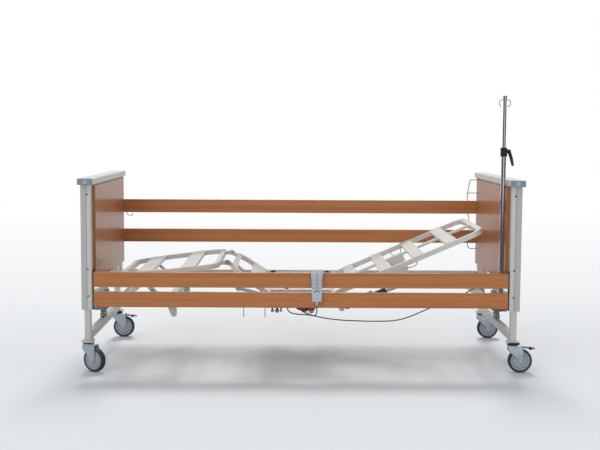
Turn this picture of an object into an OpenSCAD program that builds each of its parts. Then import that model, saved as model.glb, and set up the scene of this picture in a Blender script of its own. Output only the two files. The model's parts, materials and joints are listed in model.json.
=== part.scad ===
// Adjustable home-care bed. X runs along the bed with the head end at +X,
// Y runs across it and Z is up. The origin lies on the floor, under the middle.

/* [Overall] */
// From the middle of the bed to each leg plane, along the length
leg_x = 1095; // [1080:5:1130]
// From the middle of the bed to each leg, across the width
leg_y = 455; // [450:1:490]
// Height of the top faces of the two end bars
bar_top = 996; // [960:1:1040]
// Height of the top faces of the side tubes
frame_top = 411; // [409:1:412]

/* [Legs and castors] */
// Width of a leg tube along the bed
leg_w = 30; // [26:1:32]
// Depth of a leg tube across the bed
leg_d = 40; // [34:1:42]
// Wall of the leg tubes and beams
leg_wall = 2.5; // [2:0.5:4]
// Height of the low cross beam between two legs
beam_h = 40; // [34:1:44]
// Height of the cross beam's lower face
beam_z = 163; // [162:1:170]
// Castor wheel diameter
wheel_d = 125; // [115:1:125]
// Castor tyre width
wheel_w = 32; // [26:1:34]
// From the swivel axis to the wheel axis
trail = 39; // [34:1:42]
// Axle diameter
axle_d = 8; // [7:0.5:10]
// Kingpin diameter
kingpin_d = 12; // [10:0.5:14]
// How far the near castor of the foot end is turned
near_foot_turn = 28; // [0:1:40]

/* [Posts and end panels] */
// Width of a sleeve post along the bed
sleeve_w = 56; // [54:1:62]
// Depth of a sleeve post across the bed
sleeve_d = 64; // [62:1:70]
// Wall of the sleeve posts
sleeve_wall = 2.5; // [2:0.5:3]
// Height of the sleeves' lower ends
sleeve_bottom = 322; // [300:1:322]
// Width of an end bar
bar_w = 77; // [72:1:84]
// Height of an end bar
bar_h = 32; // [26:1:36]
// How far an end bar's cap stands out past the post's axis
bar_over = 73; // [60:1:80]
// Thickness of an end panel
panel_t = 15; // [12:1:15]
// Height of an end panel's lower edge
panel_bottom = 457; // [440:1:520]

/* [Frame] */
// Height of a side tube
side_h = 29; // [29:1:32]
// Width of a side tube
side_w = 25; // [20:1:30]
// From the middle of the bed to a side tube's axis
side_y = 442; // [438:1:444]
// Width of a cross tube
cross_w = 34; // [28:1:34]
// Height of a cross tube
cross_h = 36; // [30:1:40]
// Wall of the frame tubes
tube_wall = 2; // [1.5:0.5:3]

/* [Side rails] */
// Height of a rail board
rail_h = 78; // [65:1:80]
// Thickness of a rail board
rail_t = 24; // [18:1:24]
// Height of the lowered top board's upper edge
near_top = 517.5; // [515:0.5:540]
// Gap between the two boards when lowered
low_gap = 24.5; // [23:0.5:30]
// Height of the raised top board's upper edge
far_top = 829; // [800:1:860]
// Gap between the two boards when raised
high_gap = 98; // [80:1:120]

/* [Lying surface] */
// Height of the section pivots
pivot_z = 396; // [396:1:398]
// From the middle of the bed to the backrest pivot
back_x = 190; // [185:1:195]
// From the middle of the bed to the thigh pivot
thigh_x = 182; // [178:1:186]
// Height of a section tube
sec_h = 25; // [20:1:25]
// Width of a section tube
sec_w = 26; // [22:1:32]
// Thickness of the slats
slat_t = 2; // [1.5:0.5:3]
// Backrest length from its pivot
back_len = 835; // [780:1:840]
// Half the backrest's width
back_half = 354; // [335:1:360]
// How far the backrest is raised
back_angle = 23.3; // [20:0.1:28]
// From the thigh pivot to the knee pivot
thigh_len = 254.6; // [250:0.1:275]
// How far the thigh part is raised
thigh_angle = 34.4; // [30:0.1:36]
// Calf length from the knee pivot
calf_len = 566; // [500:1:580]
// Half the calf part's width
calf_half = 368; // [350:1:370]
// How far the calf part slopes down to the foot end
calf_angle = 6.6;

/* [Drives] */
// Drive piston diameter
piston_d = 20; // [16:1:22]
// Lift piston diameter
lift_piston_d = 26; // [22:1:28]
// Radial running clearance of pins and pistons
run_gap = 0.05; // [0.03:0.01:0.08]

/* [Pole] */
// Diameter of the pole's lower tube
pole_d = 25; // [22:0.5:26]
// Diameter of the pole's upper tube
pole_in_d = 18; // [15:0.5:19]
// Height of the pole's tip
pole_top = 1424; // [1350:1:1500]

/* [Hidden] */

// Colours of the finishes
cream = [0.80, 0.79, 0.76];
zinc = [0.68, 0.72, 0.76];
wood_tone = [0.68, 0.43, 0.27];
black_tone = [0.10, 0.10, 0.11];
grey_blue = [0.52, 0.57, 0.61];
red_tone = [0.72, 0.12, 0.08];

// Small gaps between parts that slide or lie next to each other
slide_gap = 0.3;
pin_d = 12;
hole_fn = 48;

// Castor stack, from the leg down
leg_bottom = 156;
plate_t = 5;
race_t = 6;
crown_top = leg_bottom - plate_t - race_t - slide_gap;
crown_t = 8;
fork_wall = 3;
fork_in = wheel_w / 2 + 3;
hub_d = wheel_d - 23;
axle_z = wheel_d / 2;

// Sleeve and rail channel
sleeve_x_in = leg_x - sleeve_w / 2;
slot_w = 14;
slot_deep = 10.5;
post_step = 4.5;
rail_y = leg_y + 16;
rail_end = sleeve_x_in - 6;
glide_h = 100;
bar_x = sleeve_x_in - panel_t + bar_w / 2;
bar_z = bar_top - bar_h;
bar_y = leg_y + bar_over - 4;
panel_half = leg_y - 2;

// Frame
cross_x = [-930, -674, -165, 168, 968, -112];
cross_z = frame_top - side_h - cross_h;
end_member_w = 12;
end_member_x = sleeve_x_in - end_member_w;

// Lift drive
lift_pin_z = beam_z + beam_h + 15;
lift_box = [246, 356];
lift_tube_top = 880;
lift_x = leg_x + 2;

// Linkage points [x, z] at the rest pose
back_rear = [230, 262];
back_front = [600.1, 400];
thigh_rear = [60, 248];
// where each piston begins inside its drive, clear of the bore's end when drawn in
piston_start = 134;
thigh_front = [-345, 368];
strut_low = [-666, 298];
strut_up = [-838, 462];
strut_y = 335;
knee = [-thigh_x - thigh_len * cos(thigh_angle), pivot_z + thigh_len * sin(thigh_angle)];
knee_y = 235;
back_slot = [70.3, 24, 15.6];
thigh_slot = [28.1, 8, 13.2];
strut_slot = [7.6, 10, 11.6];

// Pole and its sockets
pole_x = 1036;
pole_y = 412;
socket_z = [326, 408];
socket_floor = 6;
clamp_z = 1139;
pole_lug = 26;

// Handset on the near top rail
hand_x = 80;
hand_y = -(rail_y + rail_t / 2);
key_top = 516;
key_pitch = 20.4;

// Routes of the two cords, chosen by hand
handset_route = [
  [80, -508, 352], [80, -508, 338], [80, -507, 324], [78, -500, 310],
  [72, -488, 300], [62, -472, 295], [48, -452, 294], [30, -428, 292],
  [10, -400, 288], [-12, -368, 284], [-32, -336, 281], [-50, -304, 280],
  [-63, -272, 283], [-70, -246, 289], [-72, -224, 295], [-72, -212, 296],
  [-72, -203, 296]];
motor_route = [
  [-47, -145, 296], [-40, -145, 296], [-28, -145, 291], [-8, -144, 275],
  [20, -143, 256], [60, -142, 240], [110, -140, 228], [170, -138, 218],
  [240, -136, 211], [310, -134, 208], [380, -132, 206], [450, -130, 206],
  [510, -128, 209], [565, -127, 220], [620, -126, 240], [670, -125, 262],
  [720, -124, 284], [780, -122, 309], [840, -120, 334], [900, -118, 360],
  [928, -117, 376], [949, -116, 386], [967, -115, 388], [984, -114, 386],
  [998, -113, 375], [1010, -111, 358], [1026, -108, 343], [1048, -104, 333],
  [1066, -101, 331]];
cord_d = 6;

// ---------------------------------------------------------------- helpers

module block(lo, hi) {
  translate(lo) cube(hi - lo);
}

module disc_y(d, len, fn = hole_fn) {
  rotate([90, 0, 0]) cylinder(d = d, h = len, center = true, $fn = fn);
}

module disc_x(d, len, fn = hole_fn) {
  rotate([0, 90, 0]) cylinder(d = d, h = len, center = true, $fn = fn);
}

module round_rect(w, h, r) {
  square([w - 2 * r, h], center = true);
  square([w, h - 2 * r], center = true);
  for (sx = [-1, 1], sy = [-1, 1])
    translate([sx * (w / 2 - r), sy * (h / 2 - r)]) circle(r = r, $fn = 32);
}

// A box tube open at both ends, along "x", "y" or "z", between two corners
module box_tube(lo, hi, wall, along) {
  e = [along == "x" ? -1 : wall, along == "y" ? -1 : wall, along == "z" ? -1 : wall];
  difference() {
    block(lo, hi);
    block(lo + e, hi - e);
  }
}

// Copies at the four corners, or at the two legs of one end
module at_leg(sx, sy) {
  translate([sx * leg_x, sy * leg_y, 0]) children();
}

// Side view outlines are drawn in XZ and given a width across the bed
module across(width) {
  rotate([90, 0, 0]) linear_extrude(width, center = true) children();
}

// Places a piece drawn flat, with its pivot at the origin, at its rest angle
module at_back() {
  translate([back_x, 0, pivot_z]) rotate([0, -back_angle, 0]) children();
}

module at_thigh() {
  translate([-thigh_x, 0, pivot_z]) rotate([0, thigh_angle, 0]) mirror([1, 0, 0]) children();
}

module at_calf() {
  translate([knee[0], 0, knee[1]]) rotate([0, -calf_angle, 0]) mirror([1, 0, 0]) children();
}

// Places a drive or strut drawn along +X, with its rear pin at the origin
module from_to(a, b) {
  translate([a[0], 0, a[1]]) rotate([0, -atan2(b[1] - a[1], b[0] - a[0]), 0]) children();
}

function span(a, b) = norm(b - a);

// A point in a section's own flat frame: distance from its pivot, height
function local(p, pivot, ang, dir) =
  [dir * (p[0] - pivot[0]) * cos(ang) + (p[1] - pivot[1]) * sin(ang),
   -dir * (p[0] - pivot[0]) * sin(ang) + (p[1] - pivot[1]) * cos(ang)];

// Half of a section frame's plan outline: straight to bend_x, then a
// quarter ellipse in to end_half at the far end
function edge(len, half, end_half, bend_x, inset) =
  [for (a = [0 : 11.25 : 90])
    [bend_x + (len - inset - bend_x) * sin(a),
     end_half + (half - inset - end_half) * cos(a)]];

function flipped(pts) = [for (i = [len(pts) - 1 : -1 : 0]) [pts[i][0], -pts[i][1]]];

module u_area(len, half, end_half, bend_x, inset, start) {
  e = edge(len, half, end_half, bend_x, inset);
  polygon(concat([[start, half - inset]], e, flipped(e), [[start, -(half - inset)]]));
}

// A bent rectangular tube: a U in plan, hollow, with solid ends at its pivot
module u_tube(len, half, end_half, bend_x) {
  difference() {
    linear_extrude(sec_h, center = true) difference() {
      u_area(len, half, end_half, bend_x, 0, 0);
      u_area(len, half, end_half, bend_x, sec_w, -1);
    }
    linear_extrude(sec_h - 2 * tube_wall, center = true) difference() {
      u_area(len, half, end_half, bend_x, tube_wall, 22);
      u_area(len, half, end_half, bend_x, sec_w - tube_wall, 21);
    }
  }
}

// A sheet steel slat with two folded edges, lying on the section tubes
module slat(x, w, half) {
  block([x, -half, sec_h / 2], [x + w, half, sec_h / 2 + slat_t]);
  for (e = [x, x + w - slat_t])
    block([e, -(half - sec_w - 1), sec_h / 2 - 14], [e + slat_t, half - sec_w - 1, sec_h / 2]);
}

// The folded steel strip that runs along the middle of a section
module spine(x0, x1, w) {
  block([x0, -w / 2, sec_h / 2 - 3], [x1, w / 2, sec_h / 2 - 1]);
  for (s = [-1, 1])
    block([x0, s * (w / 2 - 1) - 1, sec_h / 2 - 13], [x1, s * (w / 2 - 1) + 1, sec_h / 2 - 3]);
}

// An oblong hole for a pin that travels: angle, travel and width
module pin_slot(s, thick) {
  rotate([0, -s[0], 0]) {
    block([0, -thick / 2, -s[2] / 2], [s[1], thick / 2, s[2] / 2]);
    disc_y(s[2], thick);
    translate([s[1], 0, 0]) disc_y(s[2], thick);
  }
}

// ---------------------------------------------------------------- bases

module legs(sx) {
  for (sy = [-1, 1]) at_leg(sx, sy) {
    box_tube([-leg_w / 2, -leg_d / 2, leg_bottom + 6], [leg_w / 2, leg_d / 2, 905], leg_wall, "z");
  }
}

// The low beam between two legs, their foot plates and the drive's lugs
module beam(sx) {
  y = leg_y - leg_d / 2;
  translate([sx * leg_x, 0, 0])
    box_tube([-leg_w / 2, -y, beam_z], [leg_w / 2, y, beam_z + beam_h], leg_wall, "y");
  for (sy = [-1, 1]) at_leg(sx, sy) translate([0, 0, leg_bottom]) linear_extrude(6) round_rect(60, 60, 8);
  for (s = [-1, 1]) difference() {
    block([sx * lift_x - 14, s * 24 - 3, beam_z + beam_h], [sx * lift_x + 14, s * 24 + 3, lift_pin_z + 13]);
    translate([sx * lift_x, 0, lift_pin_z]) disc_y(10, 80);
  }
}

module castor_heads(sx) {
  for (sy = [-1, 1]) at_leg(sx, sy) {
    translate([0, 0, leg_bottom - plate_t]) linear_extrude(plate_t) round_rect(60, 60, 8);
    translate([0, 0, leg_bottom - plate_t - race_t]) cylinder(d = 50, h = race_t, $fn = hole_fn);
    translate([0, 0, crown_top - crown_t - 4.4]) cylinder(d = kingpin_d, h = crown_t + 6, $fn = hole_fn);
    translate([0, 0, crown_top - crown_t - slide_gap - 7]) cylinder(d = 20, h = 7, $fn = hole_fn);
    for (bx = [-1, 1], by = [-1, 1])
      translate([bx * 21.5, by * 25, leg_bottom + 6]) cylinder(d = 8, h = 4, $fn = 6);
  }
}

// A lift drive: gear housing, motor and outer tube, pinned to the beam
module lift_drive(sx) {
  x = sx * lift_x;
  color(grey_blue) difference() {
    union() {
      block([x - (sx > 0 ? 27 : 53), -42, lift_box[0]], [x + (sx > 0 ? 53 : 27), 42, lift_box[1]]);
      block([x - 13, -20.7, lift_pin_z - 12], [x + 13, 20.7, lift_box[0]]);
    }
    translate([x, 0, lift_pin_z]) disc_y(10, 80);
    translate([x, 0, lift_box[0] + 60]) cylinder(d = lift_piston_d + 2 * run_gap, h = 80, $fn = hole_fn);
  }
  color(zinc) translate([x, 0, lift_pin_z]) {
    disc_y(10, 62);
    for (s = [-1, 1]) translate([0, s * 30.5, 0]) disc_y(17, 6, 32);
  }
  color(black_tone) translate([x, -95, 318]) disc_y(62, 106, 40);
  color(red_tone) for (k = [-19, 34]) translate([x + sx * k, -48, 268]) disc_y(38, 16, 40);
  color(zinc) difference() {
    translate([x, 0, lift_box[1]]) cylinder(d = 44, h = lift_tube_top - lift_box[1], $fn = hole_fn);
    translate([x, 0, lift_box[1] - 1])
      cylinder(d = lift_piston_d + 2 * run_gap, h = lift_tube_top - lift_box[1] + 2, $fn = hole_fn);
  }
}

module lift_pistons() {
  color(zinc) for (sx = [-1, 1]) translate([sx * lift_x, 0, 0]) {
    translate([0, 0, 450]) cylinder(d = lift_piston_d, h = 480, $fn = hole_fn);
    difference() {
      translate([0, 0, 930]) cylinder(d = 34, h = bar_z - 930, $fn = hole_fn);
      translate([0, 0, 946]) disc_y(8, 40);
    }
  }
}

// ---------------------------------------------------------------- castors

module at_castor(sx, sy) {
  turn = (sx < 0 && sy < 0) ? -near_foot_turn : 0;
  at_leg(sx, sy) rotate([0, 0, turn]) children();
}

module fork(sx, sy) {
  color(zinc) at_castor(sx, sy) {
    difference() {
      union() {
        translate([0, 0, crown_top - crown_t]) cylinder(d = 54, h = crown_t, $fn = hole_fn);
        block([0, -fork_in - fork_wall, crown_top - crown_t],
          [trail - 6, fork_in + fork_wall, crown_top - crown_t + 4]);
        for (s = [-1, 1]) translate([0, s * (fork_in + fork_wall / 2), 0]) across(fork_wall) {
          polygon([[-22, crown_top - crown_t + 4], [trail + 8, crown_top - crown_t + 4],
            [trail + 14, axle_z], [trail - 14, axle_z], [-22, crown_top - 26]]);
          translate([trail, axle_z]) circle(r = 14, $fn = 40);
        }
      }
      translate([0, 0, crown_top - 30]) cylinder(d = kingpin_d + 2 * run_gap, h = 60, $fn = hole_fn);
      translate([trail, 0, axle_z]) disc_y(axle_d, 80);
    }
    translate([trail, 0, axle_z]) {
      disc_y(axle_d, 2 * (fork_in + fork_wall) + 2);
      for (s = [-1, 1]) translate([0, s * (fork_in + fork_wall + 2.5), 0]) disc_y(14, 5, 32);
    }
  }
}

module hub(sx, sy) {
  h = wheel_w / 2 - 1;
  color([0.62, 0.64, 0.68]) at_castor(sx, sy) translate([trail, 0, axle_z]) rotate([90, 0, 0])
    rotate_extrude($fn = 96) polygon([[axle_d / 2 + run_gap, -h - 1.5], [13, -h - 1.5], [15, -h + 1],
      [hub_d / 2 - 10, -h + 2], [hub_d / 2 - 8, -h], [hub_d / 2 - 2, -h], [hub_d / 2, -h + 2],
      [hub_d / 2, h - 2], [hub_d / 2 - 2, h], [hub_d / 2 - 8, h], [hub_d / 2 - 10, h - 2],
      [15, h - 1], [13, h + 1.5], [axle_d / 2 + run_gap, h + 1.5]]);
}

module tyre(sx, sy) {
  h = wheel_w / 2;
  color(black_tone) at_castor(sx, sy) translate([trail, 0, axle_z]) rotate([90, 0, 0])
    rotate_extrude($fn = 96) polygon(concat([[hub_d / 2, -h + 3], [hub_d / 2 + 3, -h]],
      [for (a = [-60 : 12 : 60]) [wheel_d / 2 - 7 + 7 * cos(a), (h - 0.5) * sin(a) / sin(60)]],
      [[hub_d / 2 + 3, h], [hub_d / 2, h - 3]]));
}

// A brake lever over the wheel, pinned between the fork's sides
module pedal(sx, sy) {
  color(black_tone) at_castor(sx, sy) {
    across(30) polygon([[trail - 9, crown_top - 14.5], [trail - 3, crown_top - 11.5],
      [trail + 12, crown_top - 9],
      [trail + 40, crown_top - 13], [trail + 56, crown_top - 19], [trail + 64, crown_top - 14],
      [trail + 76, crown_top - 17], [trail + 75, crown_top - 21], [trail + 64, crown_top - 18],
      [trail + 56, crown_top - 23], [trail + 38, crown_top - 17], [trail + 14, crown_top - 13.4],
      [trail - 2, crown_top - 16], [trail - 8, crown_top - 17.5]]);
    for (s = [-1, 1]) translate([trail - 4, s * 16.5, crown_top - 14.5]) disc_y(5, 3.6, 32);
  }
}

// ---------------------------------------------------------------- end frames

// Plan outline of a post: a narrow outer half and a wider, rounded bed-side half
module post_outline() {
  w = sleeve_w / 2;
  translate([6 - w / 2, 0]) round_rect(w + 12, sleeve_d - 2 * post_step, 4);
  translate([w / 2 + 1.5, 0]) round_rect(w - 3, sleeve_d, 8);
}

module sleeve_posts() {
  y = sleeve_d / 2 - post_step - sleeve_wall;
  cav_x = [-sleeve_w / 2 + sleeve_wall, leg_w / 2 + 0.6];
  color(cream) for (sx = [-1, 1], sy = [-1, 1]) at_leg(sx, sy) mirror([sx < 0 ? 0 : 1, 0, 0])
    translate([0, 0, sleeve_bottom]) linear_extrude(bar_z - sleeve_bottom) difference() {
      post_outline();
      translate([cav_x[0], -y]) square([cav_x[1] - cav_x[0], 2 * y]);
      translate([sleeve_w / 2 - slot_deep, sy * (rail_y - leg_y) - slot_w / 2])
        square([slot_deep + 1, slot_w]);
    }
}

// Plastic linings in the sleeves' lower ends that the legs slide in
module sleeve_bushes() {
  lo = -sleeve_w / 2 + sleeve_wall + slide_gap;
  hi = leg_w / 2 + 0.6 - slide_gap;
  y = sleeve_d / 2 - post_step - sleeve_wall - slide_gap;
  color([0.85, 0.85, 0.84]) for (sx = [-1, 1], sy = [-1, 1]) at_leg(sx, sy) mirror([sx < 0 ? 0 : 1, 0, 0])
    difference() {
      union() {
        block([lo, -y, sleeve_bottom], [hi, y, sleeve_bottom + 45]);
        block([lo - slide_gap, -y - slide_gap, sleeve_bottom + 8], [hi, y + slide_gap, sleeve_bottom + 12]);
      }
      block([-leg_w / 2 - slide_gap, -leg_d / 2 - slide_gap, sleeve_bottom - 1],
        [leg_w, leg_d / 2 + slide_gap, sleeve_bottom + 50]);
    }
}

module end_bars() {
  color(cream) for (sx = [-1, 1]) translate([sx * bar_x, 0, bar_z + bar_h / 2])
    rotate([90, 0, 0]) linear_extrude(2 * bar_y, center = true) difference() {
      round_rect(bar_w, bar_h, 4);
      round_rect(bar_w - 2 * sleeve_wall, bar_h - 2 * sleeve_wall, 2);
    }
}

module end_bar_caps() {
  for (sx = [-1, 1], sy = [-1, 1]) translate([sx * bar_x, sy * bar_y, bar_z + bar_h / 2]) rotate([90, 0, 0])
    translate([0, 0, sy < 0 ? 2 : -2]) {
      color(grey_blue) linear_extrude(4, center = true) difference() {
        round_rect(bar_w, bar_h, 4);
        circle(d = 9, $fn = 40);
      }
      color(black_tone) cylinder(d = 8.4, h = 2.4, center = true, $fn = 40);
    }
}

module end_panels() {
  color(wood_tone) for (sx = [-1, 1])
    block([sx < 0 ? -sleeve_x_in : sleeve_x_in - panel_t, -panel_half, panel_bottom],
      [sx < 0 ? -sleeve_x_in + panel_t : sleeve_x_in, panel_half, bar_z]);
}

// ---------------------------------------------------------------- bed frame

module side_tubes() {
  color(cream) for (s = [-1, 1])
    box_tube([-end_member_x, s * side_y - side_w / 2, frame_top - side_h],
      [end_member_x, s * side_y + side_w / 2, frame_top], tube_wall, "x");
}

// Cross tubes under the side tubes, and the end members
module cross_tubes() {
  color(cream) {
    for (x = cross_x)
      box_tube([x - cross_w / 2, -side_y - side_w / 2, cross_z],
        [x + cross_w / 2, side_y + side_w / 2, cross_z + cross_h], tube_wall, "y");
    for (sx = [-1, 1])
      box_tube([sx * (end_member_x + end_member_w / 2) - end_member_w / 2, -leg_y, frame_top - side_h],
        [sx * (end_member_x + end_member_w / 2) + end_member_w / 2, leg_y, frame_top - 2], tube_wall, "y");
  }
}

// Two bars between the middle cross tubes, with the drives' rear brackets
module drive_carrier() {
  y = 62;
  color(cream) difference() {
    union() {
      for (s = [-1, 1]) {
        block([cross_x[5] + cross_w / 2, s * y - 3, cross_z - 6],
          [cross_x[3] - cross_w / 2, s * y + 3, cross_z + 32]);
        translate([0, s * 50, 0]) across(6) {
          polygon([[thigh_rear[0] - 30, cross_z - 4], [thigh_rear[0] + 40, cross_z - 4],
            [thigh_rear[0] + 14, thigh_rear[1] - 4], [thigh_rear[0] - 14, thigh_rear[1] - 4]]);
          translate(thigh_rear) circle(r = 15, $fn = 40);
        }
        translate([0, s * 50, 0]) across(6) {
          polygon([[cross_x[3] - 12, cross_z], [cross_x[3] + 16, cross_z],
            [back_rear[0] + 14, back_rear[1] + 5],
            [back_rear[0] - 8, back_rear[1] - 13]]);
          translate(back_rear) circle(r = 15, $fn = 40);
        }
      }
      block([thigh_rear[0] - 30, -59, cross_z - 6], [thigh_rear[0] + 70, 59, cross_z - 2]);
    }
    translate([thigh_rear[0], 0, thigh_rear[1]]) disc_y(10, 120);
    translate([back_rear[0], 0, back_rear[1]]) disc_y(10, 120);
  }
  color(zinc) for (p = [thigh_rear, back_rear]) translate([p[0], 0, p[1]]) {
    disc_y(10, 106);
    for (s = [-1, 1]) translate([0, s * 55.5, 0]) disc_y(17, 5, 32);
  }
}

// The fixed middle part between the two pivots
module seat_frame() {
  x = min(back_x, thigh_x) - 26;
  color(cream) {
    for (s = [-1, 1])
      box_tube([-x, s * 335 - sec_w / 2, pivot_z - sec_h / 2],
        [x, s * 335 + sec_w / 2, pivot_z + sec_h / 2], tube_wall, "x");
    for (s = [-1, 1], e = [-1, 1])
      block([e * (x - 15) - 15, s * 335 - sec_w / 2, cross_z + cross_h],
        [e * (x - 15) + 15, s * 335 + sec_w / 2, pivot_z - sec_h / 2]);
    translate([0, 0, pivot_z]) for (k = [-x + 8, -x / 3 - 14, x / 3 - 50, x - 72]) slat(k, 64, 350);
  }
  color(black_tone) for (s = [-1, 1], e = [-1, 1])
    translate([e * (x + 3), s * 335, pivot_z]) rotate([0, 90, 0])
      linear_extrude(6, center = true) round_rect(sec_h, sec_w, 3);
}

// Pivot pins of the backrest and thigh parts, with their plates
module section_pins() {
  for (s = [-1, 1], p = [[back_x, cross_x[3]], [-thigh_x, cross_x[2]]]) {
    color(cream) translate([0, s * (back_half + 14), 0]) difference() {
      across(6) {
        polygon([[p[1] - 14, cross_z + cross_h], [p[1] + 14, cross_z + cross_h],
          [p[0] + 13.5, pivot_z], [p[0] - 13.5, pivot_z]]);
        translate([p[0], pivot_z]) circle(r = 13.5, $fn = 40);
      }
      translate([p[0], 0, pivot_z]) disc_y(pin_d, 20);
    }
    color(zinc) translate([p[0], s * (back_half - 8), pivot_z]) disc_y(pin_d, 52);
    color(black_tone) translate([p[0], s * (back_half + 21), pivot_z]) disc_y(22, 6, 40);
  }
  // gussets for the struts' lower pins, under a cross tube
  color(cream) {
    for (s = [-1, 1]) translate([0, s * (strut_y + 17), 0]) difference() {
      across(6) {
        polygon([[cross_x[1] - 25, cross_z], [cross_x[1] + 17, cross_z],
          [strut_low[0] + 16, strut_low[1] + 6], [strut_low[0] + 16, strut_low[1] - 17],
          [strut_low[0] - 15, strut_low[1] - 22], [cross_x[1] - 25, cross_z - 26]]);
        translate([strut_low[0], strut_low[1] - 17]) circle(r = 16, $fn = 40);
      }
      translate([strut_low[0], 0, strut_low[1]]) disc_y(10, 20);
    }
    for (s = [-1, 1]) translate([strut_low[0], s * (strut_y + 5), strut_low[1]]) disc_y(10, 32);
  }
}

module control_box() {
  color(black_tone) {
    block([-190, -200, 288], [-50, -90, 344]);
    block([-182, -170, 344], [-148, -120, cross_z]);
    translate([-50, -145, 296]) disc_x(14, 6, 32);
    translate([-72, -200, 296]) disc_y(13, 6, 32);
    // three low plugs on stems
    for (p = [[-106, 12], [-127, 22], [-152, 16]]) {
      translate([p[0], -188, 272]) disc_y(p[1], 9, 40);
      block([p[0] - 4, -192, 272], [p[0] + 4, -184, 288]);
    }
  }
}

// Sockets at both head corners; the near one holds the pole
module pole_sockets() {
  color(cream) for (s = [-1, 1]) translate([pole_x, s * pole_y, 0]) difference() {
    union() {
      translate([0, 0, socket_z[0]]) cylinder(d = pole_d + 8, h = socket_z[1] - socket_z[0], $fn = hole_fn);
      block([-14, s < 0 ? pole_y + side_w / 2 - side_y : 10, frame_top - side_h],
        [14, s < 0 ? -10 : side_y - side_w / 2 - pole_y, frame_top - 4]);
    }
    translate([0, 0, socket_z[0] + socket_floor])
      cylinder(d = pole_d + 2 * run_gap, h = socket_z[1] - socket_z[0], $fn = hole_fn);
  }
}

// Round bar bent through a list of points, with a ball at each bend
module bent_wire(pts, d) {
  for (i = [0 : len(pts) - 2]) {
    v = pts[i + 1] - pts[i];
    translate(pts[i]) rotate([0, acos(v[2] / norm(v)), atan2(v[1], v[0])])
      cylinder(d = d, h = norm(v), $fn = 24);
    if (i > 0) translate(pts[i]) sphere(d = d + 0.4, $fn = 24);
  }
}

module wire_hangers() {
  y = leg_y + sleeve_d / 2 + 14;
  post = leg_y + sleeve_d / 2 - post_step;
  color(zinc) {
    bent_wire([[leg_x, post, 952], [leg_x, y, 952], [1020, y, 952], [1004, y, 866], [1010, y, 746],
      [1018, y, 722], [1012, y, 580], [1012, y, 552], [1024, y, 538],
      [leg_x, y, 538], [leg_x, post, 538]], 5);
    bent_wire([[1004.5, y, 873], [leg_x, y, 873], [leg_x, post, 873]], 5);
    for (x = [-296, -186])
      bent_wire([[x, -side_y + 4, frame_top - side_h], [x, -side_y + 4, 296], [x, -side_y + 8, 284],
        [x, -side_y + 18, 280], [x, -side_y + 26, 288]], 4);
  }
}

// ---------------------------------------------------------------- sections

module backrest_frame() {
  color(cream) at_back() {
    difference() {
      union() {
        u_tube(back_len, back_half, back_half - 86, back_len - 70);
        for (s = [-1, 1]) translate([0, s * (back_half - sec_w / 2), 0]) disc_y(sec_h, sec_w);
      }
      disc_y(pin_d + 2 * run_gap, 3 * back_half);
    }
    for (x = [70, 247, 437, 625]) slat(x, 62, back_half);
    spine(132, 247, 34);
    spine(309, 437, 34);
    spine(499, 625, 34);
    spine(687, back_len - sec_w, 34);
  }
}

// Two plates under the backrest with the oblong holes that the piston's pin runs in
module back_lever() {
  q = local(back_front, [back_x, pivot_z], back_angle, 1);
  top = sec_h / 2 - 13;
  color(cream) at_back() for (s = [-1, 1]) translate([0, s * 15, 0]) difference() {
    across(4) {
      polygon([[q[0] - 62, top], [q[0] + 34, top], [q[0] + 26, q[1] + 20],
        [q[0] + 20, q[1] - 8], [q[0] - 17, q[1] - 12],
        [q[0] - 30, q[1] + 30]]);
      translate([q[0], q[1] - 4]) circle(r = 17, $fn = 40);
    }
    translate([q[0], 0, q[1]]) rotate([0, -back_slot[0], 0])
      translate([-3, 0, 1.2]) rotate([0, back_slot[0], 0])
      pin_slot(back_slot, 10);
  }
}

module thigh_frame() {
  color(cream) at_thigh() {
    difference() {
      union() {
        u_tube(222, back_half, 250, 120);
        for (s = [-1, 1]) translate([0, s * (back_half - sec_w / 2), 0]) disc_y(sec_h, sec_w);
      }
      disc_y(pin_d + 2 * run_gap, 3 * back_half);
    }
    slat(28, 84, back_half);
    // knee lugs
    for (s = [-1, 1]) translate([0, s * (knee_y - 10), 0]) difference() {
      across(6) {
        polygon([[214, -9], [214, 9], [thigh_len, 14], [thigh_len, -14]]);
        translate([thigh_len, 0]) circle(r = 14, $fn = 40);
      }
      translate([thigh_len, 0, 0]) disc_y(10, 20);
    }
    // lever plates with the oblong holes that the piston's pin runs in
    q = local(thigh_front, [-thigh_x, pivot_z], thigh_angle, -1);
    for (s = [-1, 1]) translate([0, s * 15, 0]) difference() {
      across(4) {
        polygon([[150, -sec_h / 2], [222, -sec_h / 2], [q[0] + 16, q[1] - 6], [q[0] - 14, q[1] - 6]]);
        translate(q) circle(r = 17, $fn = 40);
      }
      translate([q[0], 0, q[1]]) rotate([0, thigh_slot[0], 0])
        translate([-3.5, 0, -0.18]) rotate([0, -thigh_slot[0], 0])
        pin_slot([-thigh_slot[0], thigh_slot[1], thigh_slot[2]], 10);
    }
    block([150, -30, -sec_h / 2 - 3], [222, 30, -sec_h / 2]);
  }
}

module knee_pins() {
  color(grey_blue) for (s = [-1, 1]) translate([knee[0], s * (knee_y - 6), knee[1]]) {
    disc_y(10, 26);
    translate([0, s * 14, 0]) disc_y(24, 4, 40);
  }
}

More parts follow.
